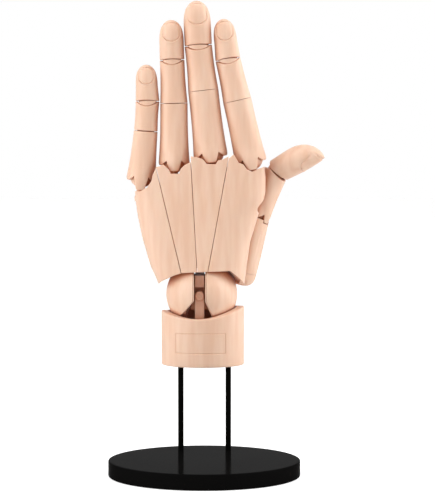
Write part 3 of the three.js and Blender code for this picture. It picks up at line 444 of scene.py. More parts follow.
def nail_relief(half, foot, tip):
    """Relief of a fingernail on the back: a fold round it, a flat plate inside and a free edge."""
    def relief(x, y, z):
        across = np.abs(x) / half
        side = (1 - across) * half
        base = z - (foot + 3.2 * across ** 2.4)
        top = tip - 1.6 * across ** 2 - z
        inside = soft_min([side, base, top], 0.25)
        fold = -0.50 * bell(inside - 0.05, 0.36)
        lip = 0.22 * bell(inside + 0.75, 0.6)
        plate = 0.10 * falling(0.9 - inside, 0.25)
        beyond = -0.45 * falling(top + 0.1, 0.12) * (np.abs(x) < half) * (z > foot)
        return falling(y + 0.5, 0.4) * (fold + lip + plate + beyond * np.exp(-np.maximum(0, -top) / 1.6))
    return relief


def knuckle_relief(width, tongue):
    """Relief at a proximal's foot: a dome over the tongue, a hollow on each side and faint folds."""
    def relief(x, y, z):
        spread = width * 0.17 + 0.10 * np.clip(z + tongue, 0, 14)
        dome = 0.75 * bell(x, spread) ** 1.4 * bell(z - 0.5, 6.0)
        dips = -0.28 * bell(np.abs(x) - 1.65 * spread, 1.6) * bell(z - 3.5, 4.0)
        folds = -0.07 * bell(z - 6.2 - 0.02 * x ** 2, 0.4) * bell(x, 5.5)
        return falling(y + 1.5, 0.8) * (dome + dips + folds)
    return relief


def joint_relief(length, width):
    """Relief of a middle phalanx: a faint saddle at both ends of its back."""
    def relief(x, y, z):
        middle = -0.18 * bell(z - length / 2, length * 0.3)
        folds = -0.05 * (bell(z - length + 3.4, 0.35) + bell(z - 3.2, 0.35))
        return falling(y + 1.5, 0.8) * (middle + folds * bell(x, width * 0.3))
    return relief


def frame_at(place, along, palmward):
    """Rotation columns and place of a limb's frame."""
    across = np.cross(palmward, along)
    across = across / np.linalg.norm(across)
    return np.stack([across, np.cross(along, across), along], axis=1), np.asarray(place, dtype=float)


def leaning(degrees):
    """A direction in the palm's plane, leaning toward the thumb."""
    return np.array([math.sin(math.radians(degrees)), 0.0, math.cos(math.radians(degrees))])


def turn_about(axis, degrees):
    """Rotation matrix about a unit axis."""
    x, y, z = axis
    c, s = math.cos(math.radians(degrees)), math.sin(math.radians(degrees))
    skew = np.array([[0, -z, y], [z, 0, -x], [-y, x, 0]])
    return np.eye(3) * c + s * skew + (1 - c) * np.outer(axis, axis)


def above(pose, length, turn_x, turn_y):
    """The frame of the next joint up a limb."""
    rotation, place = pose
    step = turn_about((1, 0, 0), turn_x) @ turn_about((0, 1, 0), turn_y)
    return rotation @ step, place + rotation @ np.array([0, 0, length])


def to_world(points, pose):
    """Points of a limb's frame in the part's frame."""
    rotation, place = pose
    return np.asarray(points) @ rotation.T + place


def limb(name, pose, rings, body, nodes):
    """One phalanx from its rings and poles."""
    circles, first, last = rings
    points, faces = ringed(circles, first, last)
    piece_from(name, to_world(points, pose), faces, body, nodes)


def barrel(name, pose, end, body, node, neck=None, lens=None):
    """A hinge's barrel: an ellipsoid, with a rounded neck and lug below it at a knuckle.

    The half sizes at a height are the ellipsoid's, or the neck's and the lug's where those reach further.
    Where the joint's back opens in a lens, the barrel swells to fill it just under the skin.
    """
    half = end["pocket"][0] - RUNNING_GAP
    radius = end["pocket"][1] - RUNNING_GAP
    low = -radius if neck is None else -neck - LUG_RADIUS
    turns = np.linspace(0, np.pi, 44)[1:-1]
    heights = (low + radius) / 2 - (radius - low) / 2 * np.cos(turns)
    if lens is not None:
        swollen = np.linspace(-lens[0] - 0.4, lens[1] + 0.4, 40)
        heights = np.unique(np.round(np.concatenate([heights, swollen]), 4))
    rings = []
    for z in heights:
        round_share = math.sqrt(max(0.0, 1 - (z / radius) ** 2)) if abs(z) < radius else 0.0
        wide, deep = half * round_share, radius * round_share
        if neck is not None:
            lug = math.sqrt(max(0.0, LUG_RADIUS ** 2 - (z + neck) ** 2))
            stalk = 2.4 if -neck < z < -radius * 0.5 else 0.0
            wide = max(wide, lug, stalk)
            deep = max(deep, 3.9 * min(1.0, lug / 1.2), 3.4 if stalk else 0.0)
        circle = oval(max(wide, 0.05), max(deep, 0.05), z)
        if lens is not None:
            opened = np.sin(ANGLES) ** 2 * (np.sin(ANGLES) < 0)
            over = z + lens[0] * opened - LENS_EDGE
            under = lens[1] * opened - z - LENS_EDGE
            filled = np.clip(np.minimum(over, under) / 0.35, 0, 1)
            filled = filled * filled * (3 - 2 * filled)
            skin = oval(end["width"] / 2 - LENS_DEPTH, end["depth"] / 2 - LENS_DEPTH, z)
            circle = circle + (skin - circle) * filled[:, None]
        rings.append(circle)
    points, faces = ringed(rings, (0, 0, low), (0, 0, radius))
    piece_from(name, to_world(points, pose), faces, body, [node], 50)


def lug_drop(foot):
    """How far a knuckle's lug lies below its pin."""
    return foot["depth"] / 2 + RUNNING_GAP + LUG_RADIUS + 1


def make_finger(name, finger):
    """Skins of one finger's phalanges and barrels."""
    knuckle_width, middle_width, end_width, tip_width = finger["widths"]
    lean = finger["leans"]
    lengths = finger["lengths"]
    foot = hinge_end(knuckle_width, 0, tongue=finger["tongue"])
    middle_end = hinge_end(middle_width, 47, side_lean=(lean[1] - lean[0]) / 2, gap=finger["crease"])
    end_head = hinge_end(end_width, 30, lens=END_HEAD_LENS, side_lean=(lean[2] - lean[1]) / 2)
    end_foot = {**end_head, "lens": END_FOOT_LENS}
    x, z = finger["knuckle"]
    first = frame_at(WRIST + np.array([x, 0, z]), leaning(lean[0]), np.array([0.0, 1.0, 0.0]))
    second = above(first, lengths[0], 0, lean[1] - lean[0])
    third = above(second, lengths[1], 0, lean[2] - lean[1])
    barrel(f"{name}_knuckle_skin", first, foot, f"{name}_knuckle", f"{name}_knuckle", lug_drop(foot))
    limb(f"{name}_proximal_skin", first, limb_rings(
        foot, middle_end, lengths[0], along_limb(knuckle_width, middle_width, lengths[0], 0.3),
        knuckle_relief(knuckle_width, finger["tongue"]), 64), f"{name}_proximal", [f"{name}_proximal"])
    barrel(f"{name}_middle_link_skin", second, middle_end, f"{name}_proximal", f"{name}_middle_link")
    limb(f"{name}_middle_skin", second, limb_rings(
        middle_end, end_head, lengths[1], along_limb(middle_width, end_width, lengths[1]),
        joint_relief(lengths[1], middle_width), 40), f"{name}_middle", [f"{name}_middle"])
    barrel(f"{name}_end_link_skin", third, end_head, f"{name}_middle", f"{name}_end_link",
           lens=(END_HEAD_LENS, END_FOOT_LENS))
    limb(f"{name}_distal_skin", third, limb_rings(
        end_foot, None, lengths[2], tipped(end_width, tip_width, lengths[2]),
        nail_relief(tip_width * 0.355, lengths[2] * 0.47, lengths[2] - 2.0), 60),
        f"{name}_end", [f"{name}_distal"])


for finger_name, finger_sizes in FINGERS.items():
    make_finger(finger_name, finger_sizes)

# Stand


def make_stand():
    """Base disc with a soft rim, and its two rods."""
    points, faces = turned(rounded_profile(BASE_RADIUS, 0, BASE_HEIGHT, 0.8), (0, 0, 0), 256)
    piece_from("base_disc_skin", points, faces, "stand", ["base_disc"], 50, "base_black")
    rod = rounded_profile(ROD_RADIUS, ROD_FOOT, ROD_TOP, 0.3)
    for name, side in (("rod_left", -1), ("rod_right", 1)):
        points, faces = turned(rod, (side * ROD_HALF_SPACING, ROD_SETBACK, 0), 64)
        piece_from(f"{name}_skin", points, faces, "stand", [name], 50, "rod_black")


make_stand()

# Cuff


RIM_FRONT = -14.5
RIM_SIDES = -9.2
RIM_TILT = 1.4


def cuff_rim(angles):
    """Height of the cuff's rim: low at the front and back, high at the sides, a little more on one."""
    return RIM_FRONT + RIM_TILT * np.cos(angles) + (RIM_SIDES - RIM_FRONT) * np.cos(angles) ** 2


def make_cuff():
    """Oval cuff with a round cup, soft rims and the bare outline of a label on its front.

    Rings run up the outside and down the cup; the label is a groove cut along a rectangle.
    """
    left, right, low, high = -16.6, 15.3, -36.7, -24.0
    groove, depth = 0.28, 0.30
    base = 2 * np.pi * np.arange(160) / 160
    marks = []
    for edge in (left, right):
        centre = -math.acos((edge - CUFF_SIDE_OFFSET) / CUFF_HALF_WIDTH)
        marks += list(2 * np.pi + centre + np.linspace(-0.045, 0.045, 13))
    angles = np.unique(np.round(np.concatenate([base, marks]), 5))
    rim = cuff_rim(angles)
    bend = 0.9

    def outer(inset, heights):
        x = CUFF_SIDE_OFFSET + (CUFF_HALF_WIDTH - inset) * np.cos(angles)
        y = (CUFF_HALF_DEPTH - inset) * np.sin(angles)
        z = np.broadcast_to(heights, angles.shape)
        beside = np.maximum(np.maximum(left - x, x - right), np.maximum(low - z, z - high))
        cutting = depth * np.clip(1.25 - np.abs(beside) / groove, 0, 1) * (y < 0)
        push = 1 - cutting / np.hypot(x, y)
        return np.stack([x * push, y * push, z], axis=1)

    rings = [outer(inset, CUFF_BOTTOM) for inset in (17.0, 8.0)]
    rings += [outer(bend * (1 - math.sin(t)), CUFF_BOTTOM + bend * (1 - math.cos(t))) for t in RIM_TURNS]
    levels = [CUFF_BOTTOM + 3.0]
    for edge in (low, high):
        levels += list(edge + np.linspace(-0.75, 0.75, 11))
    levels = sorted(levels + [-41.0, -34.0, -31.2, -28.2, -22.3, -20.5])
    start, stop = CUFF_BOTTOM + bend, -20.5
    rings += [outer(0, z) for z in levels if start < z <= stop]
    rings += [outer(0, stop + (rim - bend - stop) * share) for share in (0.2, 0.4, 0.6, 0.8, 1.0)]
    rings += [outer(bend * (1 - math.cos(t)), rim - bend + bend * math.sin(t)) for t in RIM_TURNS[1:]]
    climb = np.arcsin(np.clip(-rim / CUP_RADIUS, 0, 1))
    for share in np.concatenate([[0.0, 0.01, 0.03], np.linspace(0.08, 0.97, 16)]):
        turn = climb + (np.pi / 2 - climb) * share
        reach = CUP_RADIUS * np.cos(turn)
        lip = 0.4 * max(0.0, 1 - share / 0.03)
        rings.append(np.stack([(reach + lip) * np.cos(angles), (reach + lip) * np.sin(angles),
                               -CUP_RADIUS * np.sin(turn)], axis=1))
    points, faces = ringed(rings, (CUFF_SIDE_OFFSET, 0, CUFF_BOTTOM), (0, 0, -CUP_RADIUS))
    piece_from("wrist_cuff_skin", points + WRIST, faces, "cuff", ["wrist_cuff"], 32)


make_cuff()

# Wrist ball

FRONT_FLARES = {-1: 38, 1: 22}
FLARE_DROP = 3.0
REAR_FLARE = 37.5
INNER_FLARE = 18
CHEEK_TURN = math.radians(30)
REAR_REACH = 9.0
STEP_REACH = (13.0, 9.6)
STEP_LEAST = (15.8, 14.0)
CAVITY_RADIUS = 13.5
CAVITY_WALL = 5.95
CAVITY_END = 12.3


def make_ball(side):
    """One half of the wrist ball: a sphere's cap, a soft edge, and a wall whose place across is a formula.

    The wall stands off the slot's middle by half the slot, more below the pin, where the slot opens: by the
    flare in the front layer, and by the swing of the post's two cheeks behind it. Inside a step, whose reach
    and least radius differ in front and behind, it narrows round the core.
    """
    count = 200
    psi = 2 * np.pi * np.arange(count) / count
    wrapped = (psi + np.pi) % (2 * np.pi) - np.pi
    flare = math.tan(math.radians(FRONT_FLARES[side]))

    def swung(radius):
        return np.maximum(0, radius * np.cos(np.maximum(0, np.abs(wrapped) - CHEEK_TURN)))

    def skin_wall(radius):
        front_room = np.maximum(0, radius * np.cos(psi) - FLARE_DROP) * flare
        rear_room = swung(radius) * math.tan(math.radians(REAR_FLARE))
        return SLOT_HALF + np.where(wrapped < 0, front_room, rear_room)

    def place(x, radius):
        return np.stack([SLOT_OFFSET + side * x, radius * np.sin(psi), -radius * np.cos(psi)], axis=1)

    def inner_wall(radius):
        behind = radius * np.sin(np.clip(wrapped + CHEEK_TURN, -np.pi / 2, np.pi / 2)) > REAR_REACH
        narrow = SLOT_HALF + swung(radius) * math.tan(math.radians(INNER_FLARE))
        return np.minimum(np.where(behind, skin_wall(radius), narrow), edge)

    reach = BALL_RADIUS - 0.02
    edge = np.full(count, SLOT_HALF)
    for _ in range(30):
        at = SLOT_OFFSET + side * edge
        rim = np.sqrt(np.maximum(reach ** 2 - at ** 2, 1.0))
        edge = 0.5 * edge + 0.5 * np.minimum(skin_wall(rim), 17.0)
    pole = reach - side * SLOT_OFFSET
    rings = []
    bend = 0.8
    for share in (1 - np.cos(np.linspace(0, np.pi / 2, 44)))[1:][::-1]:
        x = pole - (pole - edge - bend) * share
        at = SLOT_OFFSET + side * x
        rings.append(place(x, np.sqrt(np.maximum(reach ** 2 - at ** 2, 0))))
    at = SLOT_OFFSET + side * (edge + bend)
    rim = np.sqrt(reach ** 2 - at ** 2)
    slope = at * side / rim
    for turn in np.radians([25, 50, 75, 90]):
        x = edge + bend * (1 - math.sin(turn))
        rings.append(place(x, rim + slope * bend * math.sin(turn) * 0.5 - bend * (1 - math.cos(turn))))
    outer = rim - bend
    step = np.where(wrapped < 0, *STEP_REACH) / np.maximum(np.abs(np.sin(wrapped)), 0.45)
    step = np.clip(step, np.where(wrapped < 0, *STEP_LEAST), outer - 0.4)
    for share in (0.25, 0.5, 0.75, 1.0):
        radius = outer + (step - outer) * share
        rings.append(place(np.minimum(skin_wall(radius), edge), radius))
    for radius in (step, (step + CAVITY_RADIUS) / 2, np.full(count, CAVITY_RADIUS)):
        rings.append(place(inner_wall(radius), radius))
    for radius in (CAVITY_RADIUS - 0.05, 12.0, 10.5, 9.0, 7.5, 3.6):
        rings.append(place(np.maximum(inner_wall(np.full(count, radius)), CAVITY_WALL), radius))
    rings.append(place(np.full(count, CAVITY_END), 3.5))
    first = (SLOT_OFFSET + side * pole, 0, 0)
    last = (SLOT_OFFSET + side * CAVITY_END, 0, 0)
    points, faces = ringed(rings, first, last)
    if side > 0:
        faces = [tuple(reversed(face)) for face in faces]
    name = "wrist_ball_right" if side > 0 else "wrist_ball_left"
    piece_from(f"{name}_skin", points + WRIST, faces, "palm", [name], 34)


make_ball(-1)
make_ball(1)


def make_wrist_pin():
    """The wrist's cross pin: a shaft with a domed, rimmed head at each end."""
    half = 14.5
    heads = [(0, half + 1.95), (1.1, half + 1.95), (1.5, half + 1.75), (2.0, half + 1.95), (2.5, half + 1.85),
             (2.9, half + 1.5), (3.0, half + 1.1), (3.0, half + 0.3), (1.6, half + 0.3)]
    profile = [(r, -h) for r, h in heads] + [(r, h) for r, h in reversed(heads)]
    points, faces = turned(profile, (0, 0, 0), 64)
    points = points[:, [0, 2, 1]] * np.array([1, -1, 1]) + WRIST + np.array([SLOT_OFFSET, 0, 0])
    piece_from("wrist_pin_skin", points, faces, "cuff", ["wrist_pin"], 34)


make_wrist_pin()

# Palm: four plates cut from one smooth body, in millimetres from the wrist ball's centre

PINKY_EDGE = [(4, -27.2), (9, -28.9), (18, -33.1), (35.6, -38.2), (50.1, -41.3), (60.7, -42.7), (96, -45)]
THUMB_EDGE = [(4, 27.2), (17.6, 29.1), (34.1, 31.5), (54, 37.4), (61, 41.0), (96, 42.3)]
FLATNESS = 2.9
EDGE_BLUR = 4.0
INDEX_BLUR = 0.7
ROUNDING = 0.4
THUMB_CLEARANCE = 0.35
THUMB_ROOM_TOP = 52.5
THUMB_ROOM_EDGE = 27.5
THUMB_ROUND_TOP = 60
SEAM_HALF = 0.15
SEAM_SLANT = 0.06
SEAM_LINES = {
    "pinky_ring": [(14.7, -12.7), (82.3, -29.5)],
    "ring_middle": [(15.5, -2.6), (85.6, -7)],
    "middle_index": [(15.7, 4.3), (89, 17.3)],
}
INDEX_EDGE = [(4, 27.2), (8.9, 28.9), (17.6, 28.9), (34.1, 31.3), (49.6, 36.4), (52, 37.3), (53.9, 35.9),
              (56.1, 36.0), (60.9, 39.9), (66, 41.1), (76, 41.1), (83, 40.3), (96, 40.4)]


def palm_section(z):
    """Middle, half width, back depth and front depth of the palm at a height."""
    left, right = smooth_steps(PINKY_EDGE, z, EDGE_BLUR), smooth_steps(THUMB_EDGE, z, EDGE_BLUR)
    share = np.clip((96 - np.asarray(z)) / 92, 0, 1)
    return (left + right) / 2, (right - left) / 2, 12.6 + 8.4 * share ** 1.3, 12.5 + 4.5 * share


def angle_across(x, z):
    """Angle round the palm's section at a place across, 0 at the thumb's edge."""
    middle, half, _, _ = palm_section(z)
    u = np.clip((np.asarray(x) - middle) / half, -1, 1)
    return np.arccos(np.sign(u) * np.abs(u) ** (FLATNESS / 2))


def thumb_axis(z):
    """Middle across of the thumb's base and limb, and their radius, at a height."""
    base_x, _, base_z = THUMB_BASE
    lean, limb_lean = (math.radians(angle) for angle in THUMB_LEANS)
    knuckle_x = base_x + THUMB_LENGTHS[0] * math.sin(lean)
    knuckle_z = base_z + THUMB_LENGTHS[0] * math.cos(lean)
    low = base_x + (z - base_z) * math.tan(lean)
    high = knuckle_x + (z - knuckle_z) * math.tan(limb_lean)
    radius = EGG_RADIUS - 1.1 * np.clip((z - base_z) / THUMB_LENGTHS[0], 0, 1)
    return np.where(z < knuckle_z, low, high), radius


CLUSTER = np.array([0, 0.006, 0.013, 0.022, 0.034])
SPREAD = np.concatenate([CLUSTER, np.linspace(0.05, 0.95, 54), 1 - CLUSTER[::-1]])
DEEP = np.array([0.02, 0.06, 0.12, 0.2, 0.28, 0.36, 0.44, 0.5, 0.56, 0.64, 0.72, 0.8, 0.88, 0.94, 0.98])


def tendon(name, x, z):
    """Faint ridge of a tendon with a shallow hollow on each side, fading toward the wrist."""
    foot = {"pinky": (-19, 16), "ring": (-8.5, 16), "middle": (0.8, 16), "index": (12, 16)}[name]
    head = FINGERS[name]["knuckle"]
    centre = foot[0] + (head[0] - foot[0]) * (z - foot[1]) / (head[1] - foot[1])
    ridge = 0.34 * bell(x - centre, 2.3) - 0.20 * bell(np.abs(x - centre) - 5.2, 2.6)
    near = 0.45 * bell(x - centre, 4.0) * bell(z - head[1] + 3, 5.0)
    return ridge * falling(58 - z, 7.0) + near


def make_plate(name, body, left_of, right_of, top, foot, is_left_edge=False, is_right_edge=False):
    """One metacarpal: rings round its section, whose heights run between a lower and an upper outline.

    A point is set by a share across and a share of depth, its outline heights depend on those two, and the
    caps over both ends follow the finger's round room and the wrist ball's socket.
    """
    knuckle_z = FINGERS[name]["knuckle"][1]
    room = FINGERS[name]["widths"][0] * DEPTH_SHARE / 2 + 0.55

    def share_at(x, z):
        a, b = angle_across(left_of(z), z), angle_across(right_of(z), z)
        return np.clip((a - angle_across(x, z)) / (a - b), 0, 1)

    top_shares = [float(share_at(x, z)) for x, z in top]
    foot_shares = [float(share_at(x, z)) for x, z in foot]
    top_line = [z for _, z in top]
    foot_line = [z for _, z in foot]

    def spot(s, f, z):
        middle, half, back, front = palm_section(z)
        a, b = angle_across(left_of(z), z), angle_across(right_of(z), z)
        angle = a + (b - a) * s
        wide = np.sign(np.cos(angle)) * np.abs(np.cos(angle)) ** (2 / FLATNESS)
        deep = np.abs(np.sin(angle)) ** (2 / FLATNESS)
        x = middle + half * wide
        back_y = 1 - back * deep - tendon(name, x, z) * np.minimum(1, deep * 1.2)
        front_x = x
        if is_right_edge:
            centre, radius = thumb_axis(z)
            limit = np.where(z < THUMB_ROOM_TOP, centre - radius - THUMB_CLEARANCE, THUMB_ROOM_EDGE)
            limit = np.minimum(limit, right_of(z))
            left_x = left_of(z)
            front_x = left_x + (limit - left_x) * np.clip((x - left_x) / (right_of(z) - left_x), 0, 1)
            wide_f = np.clip((front_x - middle) / half, -1, 1)
            deep = (1 - np.abs(wide_f) ** FLATNESS) ** (1 / FLATNESS)
        front_y = 1 + front * deep
        x = x + (front_x - x) * np.where(z > THUMB_ROOM_TOP, np.minimum(1, 2.2 * f), f)
        y = back_y + (front_y - back_y) * f
        if is_right_edge:
            across = np.maximum((radius + 0.3) ** 2 - (y - THUMB_BASE[1]) ** 2, 0)
            beside = np.minimum(x, centre - np.sqrt(across) * (across > 0))
            x = np.where((z < THUMB_ROUND_TOP) & (f > 0), beside, x)
        held = s if is_left_edge else 1 - s if is_right_edge else 1.0
        return x + SEAM_SLANT * (y + 14) * held, y

    def heights(s, f):
        own_crest = crest = np.interp(s, top_shares, top_line)
        own_floor = floor = np.interp(s, foot_shares, foot_line)
        for _ in range(3):
            y = spot(s, f, crest)[1]
            hollow = np.where(y < 0, -np.sqrt(np.maximum(room ** 2 - y ** 2, 0)), -room)
            hollow = np.where(y < -room, 99.0, hollow)
            crest = np.where(f > 0, np.minimum(own_crest, knuckle_z + hollow), own_crest)
        for _ in range(3):
            x, y = spot(s, f, floor)
            socket = np.sqrt(np.maximum((BALL_RADIUS + 0.5) ** 2 - x ** 2 - y ** 2, 0))
            floor = np.where(f > 0, np.maximum(own_floor, socket), own_floor)
        return floor, crest

    s = np.concatenate([SPREAD, np.ones(len(DEEP)), SPREAD[::-1], np.zeros(len(DEEP))])
    f = np.concatenate([np.zeros(len(SPREAD)), DEEP, np.ones(len(SPREAD)), DEEP[::-1]])
    low, high = heights(s, f)
    normal_y = np.where(f == 0, 1.0, np.where(f == 1, -1.0, 0.0))
    normal_x = np.where((f > 0) & (f < 1), np.where(s == 1, -1.0, 1.0), 0.0)

    def ring(z, inset):
        x, y = spot(s, f, z)
        width = np.maximum(right_of(z) - left_of(z), 1)
        gap_left, gap_right = s * width, (1 - s) * width
        near = np.minimum(99.0 if is_left_edge else gap_left, 99.0 if is_right_edge else gap_right)
        edge = ROUNDING - np.sqrt(np.maximum(ROUNDING ** 2 - np.maximum(ROUNDING - near, 0) ** 2, 0))
        return np.stack([x + inset * normal_x, y + (edge + inset) * normal_y, z], axis=1)

    start, stop = low + ROUNDING, high - ROUNDING
    rings = [ring(low + ROUNDING * (1 - np.cos(t)), ROUNDING * (1 - np.sin(t))) for t in RIM_TURNS]
    rings += [ring(start + (stop - start) * share, 0.0) for share in np.linspace(0, 1, 76)[1:-1]]
    rings += [ring(high - ROUNDING * (1 - np.cos(t)), ROUNDING * (1 - np.sin(t))) for t in RIM_TURNS[::-1]]
    count, across, deep = len(s), len(SPREAD), len(DEEP)
    points = [np.concatenate(rings)]
    faces = []
    for level in range(len(rings) - 1):
        a, b = level * count, (level + 1) * count
        faces += [(a + i, a + (i + 1) % count, b + (i + 1) % count, b + i) for i in range(count)]
    at = len(rings) * count
    for base, upward in ((0, False), ((len(rings) - 1) * count, True)):
        grid = np.zeros((deep + 2, across), dtype=int)
        grid[0] = base + np.arange(across)
        grid[-1] = base + across + deep + np.arange(across)[::-1]
        for row in range(deep):
            grid[row + 1, -1] = base + across + row
            grid[row + 1, 0] = base + count - 1 - row
            inner_s = SPREAD[1:-1]
            inner_f = np.full(across - 2, DEEP[row])
            floor, crest = heights(inner_s, inner_f)
            z = crest if upward else floor
            x, y = spot(inner_s, inner_f, z)
            points.append(np.stack([x, y, z], axis=1))
            grid[row + 1, 1:-1] = at + np.arange(across - 2)
            at += across - 2
        for row in range(deep + 1):
            for col in range(across - 1):
                quad = (grid[row, col], grid[row, col + 1], grid[row + 1, col + 1], grid[row + 1, col])
                quad = tuple(int(v) for v in quad)
                faces.append(quad if upward else tuple(reversed(quad)))
    node = f"metacarpal_{name}"
    piece_from(f"{node}_skin", np.concatenate(points) + WRIST, faces, body, [node], 40)


def seam(name, side):
    """Edge line of a plate beside a seam, straight through its two ends."""
    (low_z, low_x), (high_z, high_x) = SEAM_LINES[name]
    return lambda z: low_x + (high_x - low_x) * (z - low_z) / (high_z - low_z) + side * SEAM_HALF


make_plate("pinky", "pinky_metacarpal", lambda z: smooth_steps(PINKY_EDGE, z, EDGE_BLUR),
           seam("pinky_ring", -1),
           [(-42.9, 66.5), (-39.8, 66.9), (-35.3, 69.1), (-32.4, 73.3), (-31.6, 77.4), (-30.2, 80.3),
            (-29.6, 82)],
           [(-27.6, 6.9), (-22.1, 10.9), (-18.3, 12.9), (-13.0, 14.7)], is_left_edge=True)
make_plate("ring", "ring_metacarpal", seam("pinky_ring", 1), seam("ring_middle", -1),
           [(-29.2, 82.7), (-27.3, 82.9), (-24.7, 84.2), (-21.2, 80.9), (-20, 78.2), (-14.5, 78.2),
            (-13.5, 81.3), (-10.9, 83.9), (-7.3, 85.6)],
           [(-12.4, 14.8), (-2.9, 15.4)])
make_plate("middle", "palm", seam("ring_middle", 1), seam("middle_index", -1),
           [(-6.7, 89.4), (-2.3, 88.7), (1.8, 86.4), (3, 84.5), (9, 84.3), (10.4, 86.8), (12.7, 87.2),
            (17.0, 89.2)],
           [(-2.3, 15.5), (4.0, 15.6)])
make_plate("index", "palm", seam("middle_index", 1), lambda z: smooth_steps(INDEX_EDGE, z, INDEX_BLUR),
           [(17.5, 88.2), (20.5, 90.7), (23.6, 85.3), (26.7, 84.1), (29, 81), (32.2, 79.5), (36.1, 81.2),
            (40.3, 82.6)],
           [(4.6, 15.7), (18.4, 16.1), (22.3, 12.9), (24.6, 10.6), (27.2, 6.9)], is_right_edge=True)

# Thumb


def thumb_frames():
    """Frames of the thumb's base ball, its knuckle and its end joint."""
    base = frame_at(WRIST + np.array(THUMB_BASE), leaning(THUMB_LEANS[0]), np.array([0.0, 1.0, 0.0]))
    along = leaning(THUMB_LEANS[1])
    palmward = turn_about(along, THUMB_ROLL) @ np.array([0.0, 1.0, 0.0])
    knuckle = frame_at(base[1] + base[0][:, 2] * THUMB_LENGTHS[0], along, palmward)
    return base, knuckle, above(knuckle, THUMB_LENGTHS[1], THUMB_BACK_BEND, 0)


def egg_radius(z):
    """Radius of the thumb's base at a height: round below its ball, tapering to the knuckle above it."""
    share = np.minimum(0, z) / THUMB_BASE_DROP
    low = np.maximum(0, 1 - np.abs(share) ** 3) ** (1 / 3)
    top = THUMB_WIDTHS[0] / 2
    taper = top + (EGG_RADIUS - top) * (1 - np.clip(z / THUMB_LENGTHS[0], 0, 1))
    return taper * low


def make_thumb_base(base, knuckle):
    """The thumb's fixed foot and its moving base, which ends round the thumb's knuckle.

    The foot is the egg's lower cap under a plane that falls toward the palm. The base runs from a level ring
    to a rim in the knuckle's frame, low at its sides and up beside the knuckle's back and palm.
    """
    rings = []
    tilt = math.tan(math.radians(35))
    bottom = -THUMB_BASE_DROP

    def cap_top(radius):
        y = radius * np.sin(ANGLES)
        return np.where(y > 0, -0.06 - y * tilt, -0.06)

    for turn in np.linspace(0.12, np.pi / 2, 16):
        z = bottom * math.cos(turn)
        radius = egg_radius(np.array(z))
        rings.append(oval(radius, radius, np.minimum(z, np.maximum(cap_top(radius), bottom * 0.98))))
    for share, sink in ((0.995, 0.0), (0.70, 0.0), (0.64, 0.5), (0.6, 2.5), (0.45, 4.5), (0.2, 5.9)):
        radius = EGG_RADIUS * share
        rings.append(oval(radius, radius, np.maximum(np.minimum(cap_top(radius), -sink), bottom * 0.9)))
    points, faces = ringed(rings, (0, 0, bottom), (0, 0, -6.3))
    piece_from("thumb_saddle_skin", to_world(points, base), faces, "palm", ["thumb_saddle"], 40)

    def rim(radius):
        x, y = radius * np.cos(ANGLES), radius * np.sin(ANGLES)
        height = -CHEEK_DROP - RUNNING_GAP - 0.6 * np.maximum(0, y)
        notch = (np.abs(x) < 3.3 + 0.14 * (height + 4.9)) & (y < 0)
        low = -THUMB_TONGUE - RUNNING_GAP
        inner = -math.sqrt(max(0.0, 7.3 ** 2 - radius ** 2)) - 0.2
        height = np.minimum(np.where(notch, np.minimum(height, low), height), inner)
        return to_world(np.stack([x, y, height], axis=1), knuckle)

    def foot(radius, height):
        rolled = ANGLES + math.radians(THUMB_ROLL)
        level = np.stack([radius * np.cos(rolled), radius * np.sin(rolled), np.full(SIDES, height)], axis=1)
        return to_world(level, base)

    rings = [foot(r, h) for r, h in ((1.5, 6.2), (4.5, 4.6), (6.0, 2.4), (6.3, 0.9), (6.8, 0.06), (8.0, 0.06),
                                     (9.3, 0.06), (9.7, 0.08), (EGG_RADIUS, 0.2))]
    low, high = foot(EGG_RADIUS, 1.0), rim(THUMB_WIDTHS[0] / 2)
    for share in np.linspace(0.02, 0.985, 56):
        swell = 1 + 0.02 * math.sin(math.pi * share)
        centre = base[1] + (knuckle[1] - base[1]) * share
        ring = low + (high - low) * share
        rings.append(centre + (ring - centre) * swell)
    rings.append(high)
    rings += [rim(radius) for radius in (8.45, 7.9, 7.25, 6.9, 6.2, 4.8, 3.0, 1.2)]
    points, faces = ringed(rings, to_world([(0, 0, 6.4)], base)[0], to_world([(0, 0, -7.6)], knuckle)[0])
    piece_from("thumb_metacarpal_skin", points, faces, "thumb_base", ["thumb_metacarpal"], 40)


def make_thumb():
    """Skins of the thumb."""
    base, knuckle, tip = thumb_frames()
    make_thumb_base(base, knuckle)
    ball = THUMB_BALL_RADIUS
    turns = np.linspace(0, np.pi, 48)[1:-1]
    rings = [oval(ball * math.sin(t), ball * math.sin(t), -ball * math.cos(t)) for t in turns]
    points, faces = ringed(rings, (0, 0, -ball), (0, 0, ball))
    piece_from("thumb_ball_skin", to_world(points, base), faces, "thumb_ball", ["thumb_ball"], 60)
    knuckle_width, end_width, tip_width = THUMB_WIDTHS
    foot = hinge_end(knuckle_width, 0, tongue=THUMB_TONGUE)
    bend = (THUMB_END_BEND - THUMB_BACK_BEND) / 2
    end = hinge_end(end_width, bend, back_bend=(THUMB_BACK_BEND + THUMB_WEDGE) / 2)
    tip_length = THUMB_LENGTHS[2] - TIP_INSET
    barrel("thumb_knuckle_skin", knuckle, foot, "thumb_base", "thumb_knuckle", lug_drop(foot))
    limb("thumb_proximal_skin", knuckle, limb_rings(
        foot, end, THUMB_LENGTHS[1], along_limb(knuckle_width, end_width, THUMB_LENGTHS[1], 0.1),
        knuckle_relief(knuckle_width, THUMB_TONGUE), 50), "thumb_proximal", ["thumb_proximal"])
    barrel("thumb_end_link_skin", tip, end, "thumb_proximal", "thumb_end_link")
    limb("thumb_distal_skin", tip, limb_rings(
        end, None, tip_length, tipped(end_width, tip_width, tip_length, 2.3, THUMB_TIP_BACK_SHARE),
        nail_relief(tip_width * 0.36, tip_length * 0.5, tip_length - 2.0), 60),
        "thumb_end", ["thumb_distal"])


make_thumb()

# The nodes that stay

